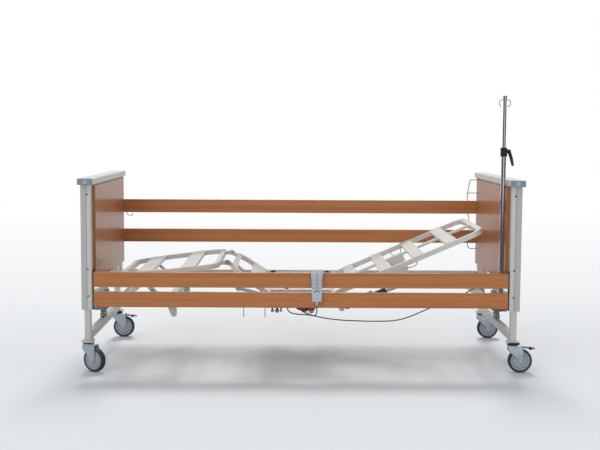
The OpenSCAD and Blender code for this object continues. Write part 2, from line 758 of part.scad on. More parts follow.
module calf_frame() {
  x0 = 38;
  q = local(strut_up, knee, -calf_angle, -1);
  color(cream) at_calf() {
    difference() {
      linear_extrude(sec_h, center = true) difference() {
        calf_area(x0, 0);
        calf_area(x0, sec_w);
      }
      linear_extrude(sec_h - 2 * tube_wall, center = true) difference() {
        calf_area(x0, tube_wall);
        calf_area(x0, sec_w - tube_wall);
      }
    }
    slat(160, 78, calf_half - 4);
    slat(388, 84, 322);
    for (s = [-1, 1]) translate([0, s * (knee_y - 2), 0]) difference() {
      across(6) {
        polygon([[0, -14], [0, 14], [x0, 9], [x0, -9]]);
        circle(r = 14, $fn = 40);
      }
      disc_y(10 + 2 * run_gap, 20);
    }
    // strut brackets under the side rails
    for (s = [-1, 1]) translate([0, s * (strut_y - 17), 0]) difference() {
      across(6) {
        polygon([[q[0] - 23, -sec_h / 2], [q[0] + 23, -sec_h / 2],
          [q[0] + 14, q[1] - 4], [q[0] - 14, q[1] - 4]]);
        translate(q) circle(r = 14, $fn = 40);
      }
      translate([q[0], 0, q[1]]) rotate([0, -strut_slot[0], 0])
        translate([-5, 0, 0.28]) rotate([0, strut_slot[0], 0])
        pin_slot(strut_slot, 10);
    }
  }
}

module calf_area(x0, inset) {
  e = edge(calf_len, calf_half, 240, 200, inset);
  r = 80 - inset;
  k = [for (a = [90 : -15 : 0]) [x0 + 80 - r * sin(a), calf_half - 80 + r * cos(a)]];
  polygon(concat(k, e, flipped(e), flipped(k)));
}

// ---------------------------------------------------------------- struts

module strut_outers() {
  color(zinc) for (s = [-1, 1]) translate([0, s * strut_y, 0]) from_to(strut_low, strut_up) difference() {
    union() {
      block([0, -11, -11], [178, 11, 11]);
      disc_y(24, 22);
    }
    disc_y(10 + 2 * run_gap, 40);
    block([24, -7.3, -8.3], [180, 7.3, 8.3]);
    for (x = [50 : 14 : 160]) block([x, -12, -3], [x + 7, 12, 3]);
  }
}

module strut_inners() {
  n = span(strut_low, strut_up);
  color(zinc) for (s = [-1, 1]) translate([0, s * strut_y, 0]) from_to(strut_low, strut_up) {
    block([60, -7, -8], [n, 7, 8]);
    translate([n, 0, 0]) disc_y(16, 14);
    translate([n, -s * 13, 0]) disc_y(10, 24);
  }
}

// ---------------------------------------------------------------- drives

// A drive drawn along +X: rear eye, gear housing, motor, outer tube
module drive_body(tube_len) {
  color(black_tone) difference() {
    union() {
      disc_y(26, 36);
      block([0, -18, -13], [22, 18, 13]);
      block([20, -30, -19], [80, 44, 19]);
      translate([80, 0, 0]) rotate([0, 90, 0]) cylinder(d = 36, h = tube_len - 80, $fn = hole_fn);
    }
    disc_y(10 + 2 * run_gap, 80);
    translate([70, 0, 0]) rotate([0, 90, 0])
      cylinder(d = piston_d + 2 * run_gap, h = tube_len, $fn = hole_fn);
  }
  color([0.2, 0.2, 0.21]) translate([80.3, 44 - 21, 0]) translate([0, 21, 0])
    rotate([0, 90, 0]) cylinder(d = 44, h = 110, $fn = 40);
}

module piston(len, pin_len) {
  color(zinc) {
    difference() {
      union() {
        translate([piston_start, 0, 0]) rotate([0, 90, 0])
          cylinder(d = piston_d, h = len - 30 - piston_start, $fn = hole_fn);
        translate([len - 30, 0, 0]) rotate([0, 90, 0]) cylinder(d = 24, h = 22, $fn = 40);
        disc_y_at(len, 24, 20);
      }
    }
    disc_y_at(len, pin_d, pin_len);
  }
}

module disc_y_at(x, d, w) {
  translate([x, 0, 0]) disc_y(d, w);
}

module back_drive() {
  from_to(back_rear, back_front) drive_body(265);
}

module back_piston() {
  from_to(back_rear, back_front) piston(span(back_rear, back_front), 44);
}

module thigh_drive() {
  from_to(thigh_rear, thigh_front) drive_body(300);
}

module thigh_piston() {
  from_to(thigh_rear, thigh_front) piston(span(thigh_rear, thigh_front), 44);
}

// ---------------------------------------------------------------- side rails

// A rail board with a plastic glide in the post channel at each end
module rail(side, top) {
  y = side * rail_y;
  color(wood_tone) translate([0, y, top - rail_h / 2]) rotate([0, 90, 0])
    linear_extrude(2 * rail_end, center = true) round_rect(rail_h, rail_t, 4);
  color(black_tone) for (sx = [-1, 1])
    block([sx * (rail_end + 8.1) - 7.9, y - slot_w / 2 + slide_gap, top - rail_h / 2 - glide_h / 2],
      [sx * (rail_end + 8.1) + 7.9, y + slot_w / 2 - slide_gap, top - rail_h / 2 + glide_h / 2]);
}

// ---------------------------------------------------------------- pole

module pole_lower() {
  color(zinc) translate([pole_x, -pole_y, 0]) difference() {
    translate([0, 0, socket_z[0] + socket_floor + 0.2])
      cylinder(d = pole_d, h = clamp_z - socket_z[0] - socket_floor, $fn = hole_fn);
    translate([0, 0, socket_z[0] + socket_floor + 8])
      cylinder(d = pole_in_d + 2 * run_gap, h = 900, $fn = hole_fn);
  }
}

module pole_upper() {
  color(zinc) translate([pole_x, -pole_y, 0]) {
    translate([0, 0, 800]) cylinder(d = pole_in_d, h = pole_top - 12 - 800, $fn = hole_fn);
    translate([0, 0, pole_top - 12]) cylinder(d = 21, h = 12, $fn = 40);
    for (a = [20, 200]) rotate([0, 0, a])
      bent_wire([[8, 0, pole_top - 20], [24, 0, pole_top - 20],
        [32, 0, pole_top - 30], [32, 0, pole_top - 44],
        [24, 0, pole_top - 54], [14, 0, pole_top - 50]], 4);
  }
}

module pole_clamp() {
  color(black_tone) translate([pole_x, -pole_y, 0]) difference() {
    union() {
      translate([0, 0, clamp_z - 24]) cylinder(d = pole_d + 9, h = 42, $fn = hole_fn);
      block([10, -8, clamp_z - 8], [pole_lug + 8, 8, clamp_z + 12]);
    }
    translate([0, 0, clamp_z - 30]) cylinder(d = pole_d, h = 30.4, $fn = hole_fn);
    translate([0, 0, clamp_z - 30]) cylinder(d = pole_in_d + 2 * run_gap, h = 60, $fn = hole_fn);
    translate([pole_lug, 0, clamp_z + 2]) disc_y(6 + 2 * run_gap, 40);
  }
}

module pole_lever() {
  color(black_tone) translate([pole_x + pole_lug, -pole_y, clamp_z + 2]) {
    disc_y(6, 26);
    for (s = [-1, 1]) translate([0, s * 11, 0]) across(4) {
      circle(r = 8, $fn = 32);
      polygon([[-4, -7], [7, -4], [20, -24], [30, -52], [36, -72], [30, -74], [20, -56], [8, -28]]);
    }
    translate([33, 0, -70]) disc_y(7, 26, 32);
  }
}

// ---------------------------------------------------------------- handset

module handset() {
  y = hand_y;
  color([0.66, 0.70, 0.74]) difference() {
    union() {
      // shell, a little narrower at its lower end
      translate([hand_x, y - 15, 0]) across(26)
        polygon([[-30, 540], [30, 540], [30, 452], [25, 372], [-25, 372], [-30, 452]]);
      translate([hand_x, y - 15, 366]) cylinder(d1 = 10, d2 = 16, h = 6, $fn = 32);
    }
    for (i = [0 : 4], k = [-1, 1])
      translate([hand_x + k * 13, y - 28, key_top - i * key_pitch]) disc_y(13, 8.4, 32);
  }
  // hook over the board
  color([0.30, 0.32, 0.34]) {
    block([hand_x - 22, y - 2, near_top], [hand_x + 22, y + rail_t + 4, near_top + 4]);
    block([hand_x - 22, y + rail_t + slide_gap, near_top - 34], [hand_x + 22, y + rail_t + 4, near_top]);
  }
  color(black_tone) translate([hand_x, y - 15, 352]) cylinder(d1 = 7, d2 = 10, h = 14, $fn = 32);
}

module buttons(side) {
  color([0.80, 0.83, 0.86]) for (i = [0 : 4])
    translate([hand_x + side * 13, hand_y - 27.2, key_top - i * key_pitch]) disc_y(12.2, 4, 32);
}

// ---------------------------------------------------------------- cords

// Rings of a tube swept along a route, each square to its direction
function unit(v) = v / norm(v);
function heading(p, i) = unit(p[min(i + 1, len(p) - 1)] - p[max(i - 1, 0)]);
function side_dir(h) = unit(cross(h, abs(h[2]) > 0.9 ? [0, 1, 0] : [0, 0, 1]));
function ring(p, i, d, n) = let (h = heading(p, i), u = side_dir(h), v = cross(u, h))
  [for (k = [0 : n - 1]) p[i] + d / 2 * (cos(360 * k / n) * u + sin(360 * k / n) * v)];

module cord(p, d) {
  n = 8;
  m = len(p);
  pts = [for (i = [0 : m - 1]) each ring(p, i, d, n)];
  walls = [for (i = [0 : m - 2], k = [0 : n - 1])
    [i * n + k, i * n + (k + 1) % n, (i + 1) * n + (k + 1) % n, (i + 1) * n + k]];
  near_end = [for (k = [n - 1 : -1 : 0]) k];
  far_end = [for (k = [0 : n - 1]) (m - 1) * n + k];
  polyhedron(pts, concat([near_end], walls, [far_end]));
}

// ---------------------------------------------------------------- nodes

color(cream) legs(-1);  // foot_legs
color(cream) beam(-1);  // foot_beam
color(zinc) castor_heads(-1);  // foot_castor_heads
lift_drive(-1);  // foot_lift_drive
color(cream) legs(1);  // head_legs
color(cream) beam(1);  // head_beam
color(zinc) castor_heads(1);  // head_castor_heads
lift_drive(1);  // head_lift_drive
fork(-1, -1);  // fork_near_foot
fork(-1, 1);  // fork_far_foot
fork(1, -1);  // fork_near_head
fork(1, 1);  // fork_far_head
hub(-1, -1);  // hub_near_foot
hub(-1, 1);  // hub_far_foot
hub(1, -1);  // hub_near_head
hub(1, 1);  // hub_far_head
tyre(-1, -1);  // tyre_near_foot
tyre(-1, 1);  // tyre_far_foot
tyre(1, -1);  // tyre_near_head
tyre(1, 1);  // tyre_far_head
pedal(1, -1);  // pedal_near_head
pedal(-1, 1);  // pedal_far_foot
sleeve_posts();
sleeve_bushes();
end_bars();
end_bar_caps();
end_panels();
side_tubes();
cross_tubes();
drive_carrier();
seat_frame();
section_pins();
lift_pistons();
control_box();
pole_sockets();
wire_hangers();
backrest_frame();
back_lever();
thigh_frame();
calf_frame();
knee_pins();
strut_outers();
strut_inners();
back_drive();
back_piston();
thigh_drive();
thigh_piston();
rail(-1, near_top);  // near_rail_top
rail(-1, near_top - rail_h - low_gap);  // near_rail_low
rail(1, far_top);  // far_rail_top
rail(1, far_top - rail_h - high_gap);  // far_rail_low
pole_lower();
pole_upper();
pole_clamp();
pole_lever();
handset();
buttons(-1);  // up_buttons
buttons(1);  // down_buttons
color(black_tone) cord(handset_route, cord_d);  // handset_cord
color(black_tone) cord(motor_route, cord_d);  // motor_cord
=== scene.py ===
import bmesh
import bpy
import json
from math import cos, pi, radians, sin
from mathutils import Matrix, Vector


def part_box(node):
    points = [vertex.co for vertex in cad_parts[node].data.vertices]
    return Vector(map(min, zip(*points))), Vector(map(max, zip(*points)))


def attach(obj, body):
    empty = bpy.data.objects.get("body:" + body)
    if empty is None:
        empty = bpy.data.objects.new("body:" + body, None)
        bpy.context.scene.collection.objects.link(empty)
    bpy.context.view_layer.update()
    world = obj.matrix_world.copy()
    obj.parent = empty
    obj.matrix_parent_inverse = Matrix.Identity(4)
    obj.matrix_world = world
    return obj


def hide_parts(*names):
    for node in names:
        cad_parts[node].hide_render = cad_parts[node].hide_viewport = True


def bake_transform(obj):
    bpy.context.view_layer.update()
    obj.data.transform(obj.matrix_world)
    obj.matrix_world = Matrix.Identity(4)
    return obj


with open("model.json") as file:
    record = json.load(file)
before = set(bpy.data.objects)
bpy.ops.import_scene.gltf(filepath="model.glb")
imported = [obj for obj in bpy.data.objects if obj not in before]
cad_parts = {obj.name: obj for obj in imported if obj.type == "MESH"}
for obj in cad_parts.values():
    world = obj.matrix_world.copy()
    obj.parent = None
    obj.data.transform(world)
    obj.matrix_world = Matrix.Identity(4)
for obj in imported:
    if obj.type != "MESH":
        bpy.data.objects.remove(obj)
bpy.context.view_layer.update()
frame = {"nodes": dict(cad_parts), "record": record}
joints = {joint["name"]: joint for joint in frame["record"]["behaviour"]["joints"]}

# Camera: stands 5.8 m off the near side at chest height, looks slightly down,
# and is turned a touch towards the head end.
camera_data = bpy.data.cameras.new("camera")
camera_data.lens, camera_data.sensor_width = 63.26, 36
camera = bpy.data.objects.new("camera", camera_data)
bpy.context.scene.collection.objects.link(camera)
bpy.context.scene.camera = camera
stand = (-0.0486, -5.8232, 1.243)
yaw, pitch, roll = radians(-0.437), radians(5.13), radians(0.312)
ahead = Vector((-sin(yaw) * cos(pitch), cos(yaw) * cos(pitch), -sin(pitch)))
level_right = Vector((cos(yaw), sin(yaw), 0))
level_up = level_right.cross(ahead)
right = cos(roll) * level_right + sin(roll) * level_up
up = right.cross(ahead)
camera.matrix_world = Matrix((
    (right.x, up.x, -ahead.x, stand[0]),
    (right.y, up.y, -ahead.y, stand[1]),
    (right.z, up.z, -ahead.z, stand[2]),
    (0, 0, 0, 1)))
bpy.context.scene.view_settings.view_transform = "Standard"


# Shader maths: a socket wrapped so that Python's operators add Math nodes,
# and a finish whose one method adds any other node.
class Amount:
    def __init__(self, finish, socket):
        self.finish = finish
        self.socket = socket

    def math(self, operation, *values):
        return self.finish.node("Math", {"operation": operation}, *values)

    def __add__(self, other): return self.math("ADD", self, other)
    def __radd__(self, other): return self.math("ADD", other, self)
    def __sub__(self, other): return self.math("SUBTRACT", self, other)
    def __rsub__(self, other): return self.math("SUBTRACT", other, self)
    def __mul__(self, other): return self.math("MULTIPLY", self, other)
    def __rmul__(self, other): return self.math("MULTIPLY", other, self)
    def __lt__(self, other): return self.math("LESS_THAN", self, other)

    def between(self, low, high):
        """0 below low, 1 above high, and a smooth step from one to the other."""
        return self.finish.node("MapRange", {"interpolation_type": "SMOOTHSTEP"}, self, low, high, 0.0, 1.0)


class Finish:
    def __init__(self, name, color, roughness, **constants):
        self.material = bpy.data.materials.new(name)
        self.material.use_nodes = True
        self.tree = self.material.node_tree
        self.shader = self.tree.nodes["Principled BSDF"]
        self.set("Base Color", (*color, 1))
        self.set("Roughness", roughness)
        for socket, value in constants.items():
            self.set(socket.replace("_", " "), value)
        self.color = color

    def node(self, kind, settings, *values, output=0):
        """Adds a node, sets its settings, then the values or links of its sockets in order."""
        added = self.tree.nodes.new("ShaderNode" + kind)
        for name, value in settings.items():
            if name == "stops":
                ramp = added.color_ramp.elements
                while len(ramp) < len(value):
                    ramp.new(1)
                for element, (place, shade) in zip(ramp, value):
                    element.position, element.color = place, (*shade, 1)
            else:
                setattr(added, name, value)
        sockets = [socket for socket in added.inputs if socket.enabled]
        for socket, value in zip(sockets, values):
            self.fill(socket, value)
        return Amount(self, [socket for socket in added.outputs if socket.enabled][output])

    def fill(self, socket, value):
        if value is None:
            return
        if isinstance(value, Amount):
            self.tree.links.new(value.socket, socket)
        elif socket.type == "RGBA" and len(value) == 3:
            socket.default_value = (*value, 1)
        else:
            socket.default_value = value

    def set(self, name, value):
        self.fill(self.shader.inputs[name], value)

    def place(self, scale=(1, 1, 1), turn=(0, 0, 0)):
        """Object coordinates, stretched and turned to suit a pattern."""
        where = self.node("TexCoord", {}, output=3)
        return self.node("Mapping", {}, where, (0, 0, 0), turn, scale)

    def axis(self, number):
        return self.node("SeparateXYZ", {}, self.node("TexCoord", {}, output=3), output=number)

    def noise(self, scale, detail=2.0, stretch=(1, 1, 1)):
        return self.node("TexNoise", {}, self.place(stretch), scale, detail, 0.55)

    def mix(self, amount, first, second):
        return self.node("Mix", {"data_type": "RGBA"}, amount, first, second)

    def tint(self, factor, darker, lighter):
        """Base colour that wanders between two shades of the finish's own colour."""
        dark = tuple(part * darker for part in self.color)
        light = tuple(min(1, part * lighter) for part in self.color)
        return self.mix(factor, dark, light)

    def bump(self, height, distance, strength=1.0):
        self.set("Normal", self.node("Bump", {}, strength, distance, None, height))


# Room: a pale floor that fades to white far behind the bed, white
# surroundings, and two broad soft lamps, one overhead and one in front.
floor_mesh = bpy.data.meshes.new("floor")
reach, front, back = 30.0, -12.0, 45.0
floor_mesh.from_pydata([(-reach, front, 0), (reach, front, 0), (reach, back, 0), (-reach, back, 0)], [],
                       [(0, 1, 2, 3)])
floor = bpy.data.objects.new("floor", floor_mesh)
bpy.context.scene.collection.objects.link(floor)
floor_finish = Finish("floor paint", (0.8, 0.82, 0.84), 0.9)
depth = floor_finish.axis(1)
near_shade, far_shade = (0.77, 0.8, 0.825), (0.9, 0.91, 0.925)
floor_finish.set("Base Color", floor_finish.mix(depth.between(-1.6, 3.2), near_shade, far_shade))
floor_finish.set("Specular IOR Level", 0.1)
glow = floor_finish.node("Emission", {}, (1.0, 1.0, 1.0), 1.0)
seen = floor_finish.node("LightPath", {}, output=0)
fade = seen * depth.between(0.6, 11.0)
blend_out = floor_finish.node("MixShader", {}, fade, Amount(floor_finish, floor_finish.shader.outputs[0]),
                              glow)
mirror_seen = floor_finish.node("LightPath", {}, output=3)
dim = floor_finish.node("Emission", {}, (0.1, 0.1, 0.11), 1.0)
mirror_dark = mirror_seen * (1 - depth.between(-0.3, 3.0))
floor_surface = floor_finish.node("MixShader", {}, mirror_dark, blend_out, dim)
floor_output = floor_finish.tree.nodes["Material Output"]
floor_finish.tree.links.new(floor_surface.socket, floor_output.inputs["Surface"])
floor_mesh.materials.append(floor_finish.material)

world = bpy.data.worlds.new("studio")
bpy.context.scene.world = world
world.use_nodes = True
tree = world.node_tree
tree.nodes.clear()


def grow(tree, kind, *values, **settings):
    """Adds a node to a tree, sets its settings, then the values or links of its sockets in order."""
    added = tree.nodes.new(kind)
    for name, value in settings.items():
        setattr(added, name, value)
    for socket, value in zip([socket for socket in added.inputs if socket.enabled], values):
        if isinstance(value, bpy.types.NodeSocket):
            tree.links.new(value, socket)
        elif value is not None:
            socket.default_value = value
    return added


def eased(value, low, high, start, stop):
    """A smooth step from start to stop as the value goes from low to high."""
    step = grow(tree, "ShaderNodeMapRange", value, low, high, start, stop, interpolation_type="SMOOTHSTEP")
    return step.outputs[0]


def larger(first, second):
    return grow(tree, "ShaderNodeMath", first, second, operation="MAXIMUM").outputs[0]


def background(color, strength):
    return grow(tree, "ShaderNodeBackground", (*color, 1), strength).outputs[0]


light_path = grow(tree, "ShaderNodeLightPath").outputs
sight = grow(tree, "ShaderNodeTexCoord").outputs["Generated"]
_, deep, high = grow(tree, "ShaderNodeSeparateXYZ", sight).outputs
# Reflections see a white backdrop behind the bed and overhead, and the dim
# room on the camera's side.
behind = eased(deep, 0.3, 0.75, 0.12, 1.0)
overhead = eased(high, 0.45, 0.8, 0.0, 0.9)
window = eased(deep, -0.955, -0.985, 0.0, 1.2)
ambient = background((0.97, 0.985, 1.0), eased(high, 0.05, 0.75, 0.78, 0.36))
reflected = background((1, 1, 1), larger(larger(behind, overhead), window))
gloss = larger(light_path["Is Glossy Ray"], light_path["Is Transmission Ray"])
lit = grow(tree, "ShaderNodeMixShader", gloss, ambient, reflected)
shown = grow(tree, "ShaderNodeMixShader", light_path["Is Camera Ray"], lit.outputs[0],
             background((1, 1, 1), 1.0))
grow(tree, "ShaderNodeOutputWorld", shown.outputs[0])

for name, strength, spread, lean in (
        ("overhead lamp", 1.75, 20, (-38, 0, 0)),
        ("front lamp", 0.7, 60, (58, 0, -28))):
    lamp_data = bpy.data.lights.new(name, "SUN")
    lamp_data.energy = strength
    lamp_data.angle = radians(spread)
    lamp = bpy.data.objects.new(name, lamp_data)
    lamp.rotation_euler = [radians(angle) for angle in lean]
    lamp.visible_glossy = name != "front lamp"
    bpy.context.scene.collection.objects.link(lamp)


# Painted frame: the steel of legs, beams, posts, end bars and tubes has a
# pale warm grey powder coat, with a fine orange peel and rounded tube edges.
def own(obj, finish, body, slot, *nodes):
    """Gives a piece its finish, the body it moves with and the parts it stands for."""
    if finish is not None:
        obj.data.materials.clear()
        obj.data.materials.append(finish.material)
    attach(obj, body)
    if nodes:
        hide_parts(*nodes)
    return obj


def piece(name, mesh):
    obj = bpy.data.objects.new(name, mesh)
    bpy.context.scene.collection.objects.link(obj)
    return obj


def from_bmesh(name, shape, smooth_below=40, turn_out=True):
    mesh = bpy.data.meshes.new(name)
    if turn_out:
        bmesh.ops.recalc_face_normals(shape, faces=shape.faces)
    shape.to_mesh(mesh)
    shape.free()
    mesh.shade_smooth()
    mesh.set_sharp_from_angle(angle=radians(smooth_below))
    return mesh


def round_edges(shape, edges, width, steps=2, slide=False):
    bmesh.ops.bevel(shape, geom=edges, offset=width, offset_type="OFFSET", segments=steps, profile=0.5,
                    affect="EDGES", clamp_overlap=True, loop_slide=slide)


def rounded_copy(node, edge, steps=2, sharp=38, keep=None):
    """A CAD node's mesh, merged, with its sharp edges rounded as on formed steel."""
    shape = bmesh.new()
    shape.from_mesh(frame["nodes"][node].data)
    bmesh.ops.remove_doubles(shape, verts=shape.verts, dist=1e-5)
    if keep:
        away = [face for face in shape.faces if not keep(face.calc_center_median())]
        bmesh.ops.delete(shape, geom=away, context="FACES")
    bmesh.ops.dissolve_limit(shape, angle_limit=radians(1.5), verts=shape.verts, edges=shape.edges)
    hard = [part for part in shape.edges
            if len(part.link_faces) == 2 and part.calc_face_angle(0) > radians(sharp)]
    round_edges(shape, hard, edge, steps, slide=True)
    obj = piece("rounded_" + node, from_bmesh(node, shape, 50, turn_out=False))
    even = obj.modifiers.new("even", "WEIGHTED_NORMAL")
    even.keep_sharp = True
    return plain(obj)


def plain(obj):
    """The object's evaluated shape as a plain mesh, with its modifiers gone."""
    evaluated = obj.evaluated_get(bpy.context.evaluated_depsgraph_get())
    mesh = bpy.data.meshes.new_from_object(evaluated, preserve_all_data_layers=True,
            depsgraph=bpy.context.evaluated_depsgraph_get())
    obj.modifiers.clear()
    obj.data = mesh
    return obj


def coated(name, color, roughness, cloud=None, dull=None, peel=None, **constants):
    """A finish whose shade, gloss and surface wander: cloudy shade, dulled patches and a fine peel."""
    finish = Finish(name, color, roughness, **constants)
    if cloud:
        scale, detail, darker, lighter = cloud
        finish.set("Base Color", finish.tint(finish.noise(scale, detail), darker, lighter))
    if dull:
        start, swing, scale, detail = dull
        finish.set("Roughness", start + swing * finish.noise(scale, detail))
    if peel:
        scale, detail, height, strength = peel
        finish.bump(finish.noise(scale, detail), height, strength)
    return finish


coat_cloud, coat_dull, coat_peel = (3.1, 4.0, 0.955, 1.03), (0.34, 0.14, 9.0, 3.0), (620.0, 2.0, 0.00012, 0.5)
frame_paint = coated("warm grey powder coat", (0.575, 0.562, 0.54), 0.4, coat_cloud, coat_dull, coat_peel)
painted = {
    "foot_base": ("foot_legs", "foot_beam"),
    "head_base": ("head_legs", "head_beam"),
    "bed_frame": ("end_bars", "side_tubes", "cross_tubes", "drive_carrier", "pole_sockets", "section_pins")}
for body, nodes in painted.items():
    for node in nodes:
        own(rounded_copy(node, 0.0011), frame_paint, body, "frame_paint", node)

# Posts: the same coat on a two-step profile; painted shade darkens the outer part,
# which lies back, and a painted shadow line marks where the step begins.
post_paint_with_shade = coated("post powder coat with painted shade", (0.575, 0.562, 0.54), 0.4, None, coat_dull, coat_peel)
from_middle = post_paint_with_shade.node("Math", {"operation": "ABSOLUTE"}, post_paint_with_shade.axis(0))
post_middle = joints["swivel_near_head"]["pos_m"][0]
step_at = post_middle - 0.003
# Painted shade: the outer part of each post is coloured darker, as if it lay in shade.
painted_shade_mask = from_middle.between(step_at, step_at + 0.0008)
# line: a thin painted shadow just past the step, where the outer part begins.
line = painted_shade_mask * (1 - from_middle.between(step_at + 0.0022, step_at + 0.0034))
cloudy = post_paint_with_shade.tint(post_paint_with_shade.noise(3.1, 4.0), 0.99, 1.08)
painted_shade_colour = post_paint_with_shade.mix(painted_shade_mask, cloudy, (0.475, 0.475, 0.468))
post_paint_with_shade.set("Base Color", post_paint_with_shade.mix(line, painted_shade_colour, (0.25, 0.25, 0.245)))
own(rounded_copy("sleeve_posts", 0.0011), post_paint_with_shade, "bed_frame", "frame_paint", "sleeve_posts")

# Lying sections: bent steel tube with flat folded slats across it, in a
# creamier coat, hung on the frame and hinged at the knee.
section_paint = coated("cream powder coat", (0.665, 0.655, 0.62), 0.4, coat_cloud, coat_dull, coat_peel)
for body, nodes in {"bed_frame": ("seat_frame",), "backrest": ("backrest_frame", "back_lever"),
                    "thigh": ("thigh_frame",), "calf": ("calf_frame",)}.items():
    for node in nodes:
        own(rounded_copy(node, 0.0009), section_paint, body, "section_paint", node)

# Zinc-plated steel: castor plates, struts and pistons are bright and
# blue-white with a faint cloudiness, and the wire racks are duller.
zinc = coated("bright zinc plate", (0.57, 0.66, 0.74), 0.3, (26.0, 3.0, 0.86, 1.12), None,
              (180.0, 2.0, 0.0001, 0.4), Metallic=0.4)
spangle = zinc.node("TexVoronoi", {}, zinc.place(), 260.0)
zinc.set("Roughness", 0.2 + 0.16 * zinc.noise(40.0, 2.0) + 0.06 * spangle)
for body, nodes in {"foot_base": ("foot_castor_heads",), "head_base": ("head_castor_heads",),
                    "bed_frame": ("lift_pistons",), "struts": ("strut_outers", "strut_inners"),
                    "back_piston": ("back_piston",), "thigh_piston": ("thigh_piston",)}.items():
    for node in nodes:
        own(rounded_copy(node, 0.0006), zinc, body, "zinc", node)

wire_zinc = coated("dull zinc wire", (0.3, 0.325, 0.345), 0.4, dull=(0.34, 0.16, 40.0, 2.0), Metallic=0.5)
own(rounded_copy("wire_hangers", 0.0004), wire_zinc, "bed_frame", "zinc", "wire_hangers")

# Rail boards: varnished cherry veneer with the grain along the board and
# small rounded edges; each end carries a black plastic glide in the post.
def veneer(name, color, along, gloss_coat):
    """Wood whose grain runs along the given axis, under a clear varnish."""
    finish = Finish(name, color, 0.38, Coat_Roughness=0.11, Coat_IOR=1.5, Specular_IOR_Level=0.2)
    stretch = [34.0, 34.0, 34.0]
    stretch[along] = 1.3
    broad = finish.noise(1.0, 4.0, tuple(stretch))
    fine = finish.noise(7.0, 5.0, tuple(stretch))
    flame = finish.node("TexWave", {"wave_type": "BANDS", "bands_direction": "Z" if along != 2 else "Y",
            "wave_profile": "SAW"},
                        finish.place(tuple(0.16 * part for part in stretch)), 1.4, 5.0, 2.0, 1.0)
    pores = finish.noise(16.0, 2.0, tuple(part * (0.22 if place == along else 1.6) for place,
            part in enumerate(stretch)))
    shade = 0.42 * broad + 0.38 * fine + 0.2 * flame
    grain = finish.node("ValToRGB", {"stops": [
        (0.25, tuple(part * 0.74 for part in color)),
        (0.5, color), (0.78, tuple(part * 1.2 for part in color))]}, shade)
    pore = (pores < 0.4)
    finish.set("Base Color", finish.mix(0.35 * pore, grain, tuple(part * 0.55 for part in color)))
    finish.set("Roughness", 0.34 + 0.12 * fine)
    finish.set("Coat Weight", gloss_coat - 0.1 * broad)
    finish.bump(fine - 0.6 * pore, 0.00012, 0.25)
    return finish


rail_wood = veneer("cherry rail veneer", (0.5, 0.194, 0.069), 0, 0.4)
black_plastic = coated("black moulded plastic", (0.022, 0.022, 0.026), 0.45, dull=(0.4, 0.16, 14.0, 3.0),
                       peel=(900.0, 2.0, 0.0001, 0.35))
glide_length = 0.0165
for node in ("near_rail_top", "near_rail_low", "far_rail_top", "far_rail_low"):
    board_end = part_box(node)[1].x - glide_length
    board = rounded_copy(node, 0.0015, 3, keep=lambda spot: abs(spot.x) < board_end)
    own(board, rail_wood, node, "rail_wood", node)
    glides = rounded_copy(node, 0.0008, keep=lambda spot: abs(spot.x) > board_end)
    glides.name = node + "_glides"
    own(glides, black_plastic, node, "black_plastic")


# End panels: varnished cherry boards with upright grain behind the end bars,
# a thin aluminium strip down each far edge and a row of dark marks along the top, painted shadow of the slots
# there.
def slab(shape, low, high, edge=0.001, steps=2):
    """Adds a block with rounded edges."""
    made = bmesh.ops.create_cube(shape, size=1)["verts"]
    for vert in made:
        vert.co = Vector([low[k] + (vert.co[k] + 0.5) * (high[k] - low[k]) for k in range(3)])
    edges = list(dict.fromkeys(part for vert in made for part in vert.link_edges))
    round_edges(shape, edges, edge, steps)


def new_tree(name, **inputs):
    """An empty geometry tree with one named input for each size, and its finish."""
    tree = bpy.data.node_groups.new(name, "GeometryNodeTree")
    tree.interface.new_socket("Geometry", in_out="INPUT", socket_type="NodeSocketGeometry")
    for label, kind in inputs.items():
        tree.interface.new_socket(label, in_out="INPUT", socket_type="NodeSocket" + kind)
    tree.interface.new_socket("Finish", in_out="INPUT", socket_type="NodeSocketMaterial")
    tree.interface.new_socket("Geometry", in_out="OUTPUT", socket_type="NodeSocketGeometry")
    return tree, tree.nodes.new("NodeGroupInput").outputs


def end_tree(tree, given, instances):
    real = grow(tree, "GeometryNodeRealizeInstances", instances)
    finished = grow(tree, "GeometryNodeSetMaterial", real.outputs[0], None, given["Finish"])
    grow(tree, "NodeGroupOutput", finished.outputs[0])


def run_tree(obj, tree, finish, **sizes):
    """Runs a tree on an object with these sizes, and keeps the result as a plain mesh."""
    modifier = obj.modifiers.new("made", "NODES")
    modifier.node_group = tree
    sizes["Finish"] = finish.material
    for item in tree.interface.items_tree:
        if item.in_out == "INPUT" and item.name in sizes:
            modifier[item.identifier] = sizes[item.name]
    plain(obj)
    obj.data.shade_smooth()
    obj.data.set_sharp_from_angle(angle=radians(35))
    return obj


# One head on each point: a low cone with a sunk socket, turned and stretched
heads_tree, given = new_tree("fixing heads", Diameter="Float", Height="Float", Turn="Vector",
                             Stretch="Vector")
half = grow(heads_tree, "ShaderNodeMath", given["Diameter"], 0.5, operation="MULTIPLY")
top = grow(heads_tree, "ShaderNodeMath", given["Diameter"], 0.4, operation="MULTIPLY")
cone = grow(heads_tree, "GeometryNodeMeshCone", 18, 1, 1, top.outputs[0], half.outputs[0], given["Height"])
inner = grow(heads_tree, "GeometryNodeExtrudeMesh", cone.outputs[0], cone.outputs["Top"], None, 0.0, False)
sunk = grow(heads_tree, "GeometryNodeScaleElements", inner.outputs[0], inner.outputs["Top"], 0.5)
drop = grow(heads_tree, "ShaderNodeMath", given["Height"], -0.6, operation="MULTIPLY")
socketed = grow(heads_tree, "GeometryNodeExtrudeMesh", sunk.outputs[0], inner.outputs["Top"], None,
                drop.outputs[0], False)
turned_by = grow(heads_tree, "FunctionNodeEulerToRotation", given["Turn"])
placed = grow(heads_tree, "GeometryNodeInstanceOnPoints", given["Geometry"], None, socketed.outputs[0],
              None, None, turned_by.outputs[0], given["Stretch"])
end_tree(heads_tree, given, placed.outputs[0])
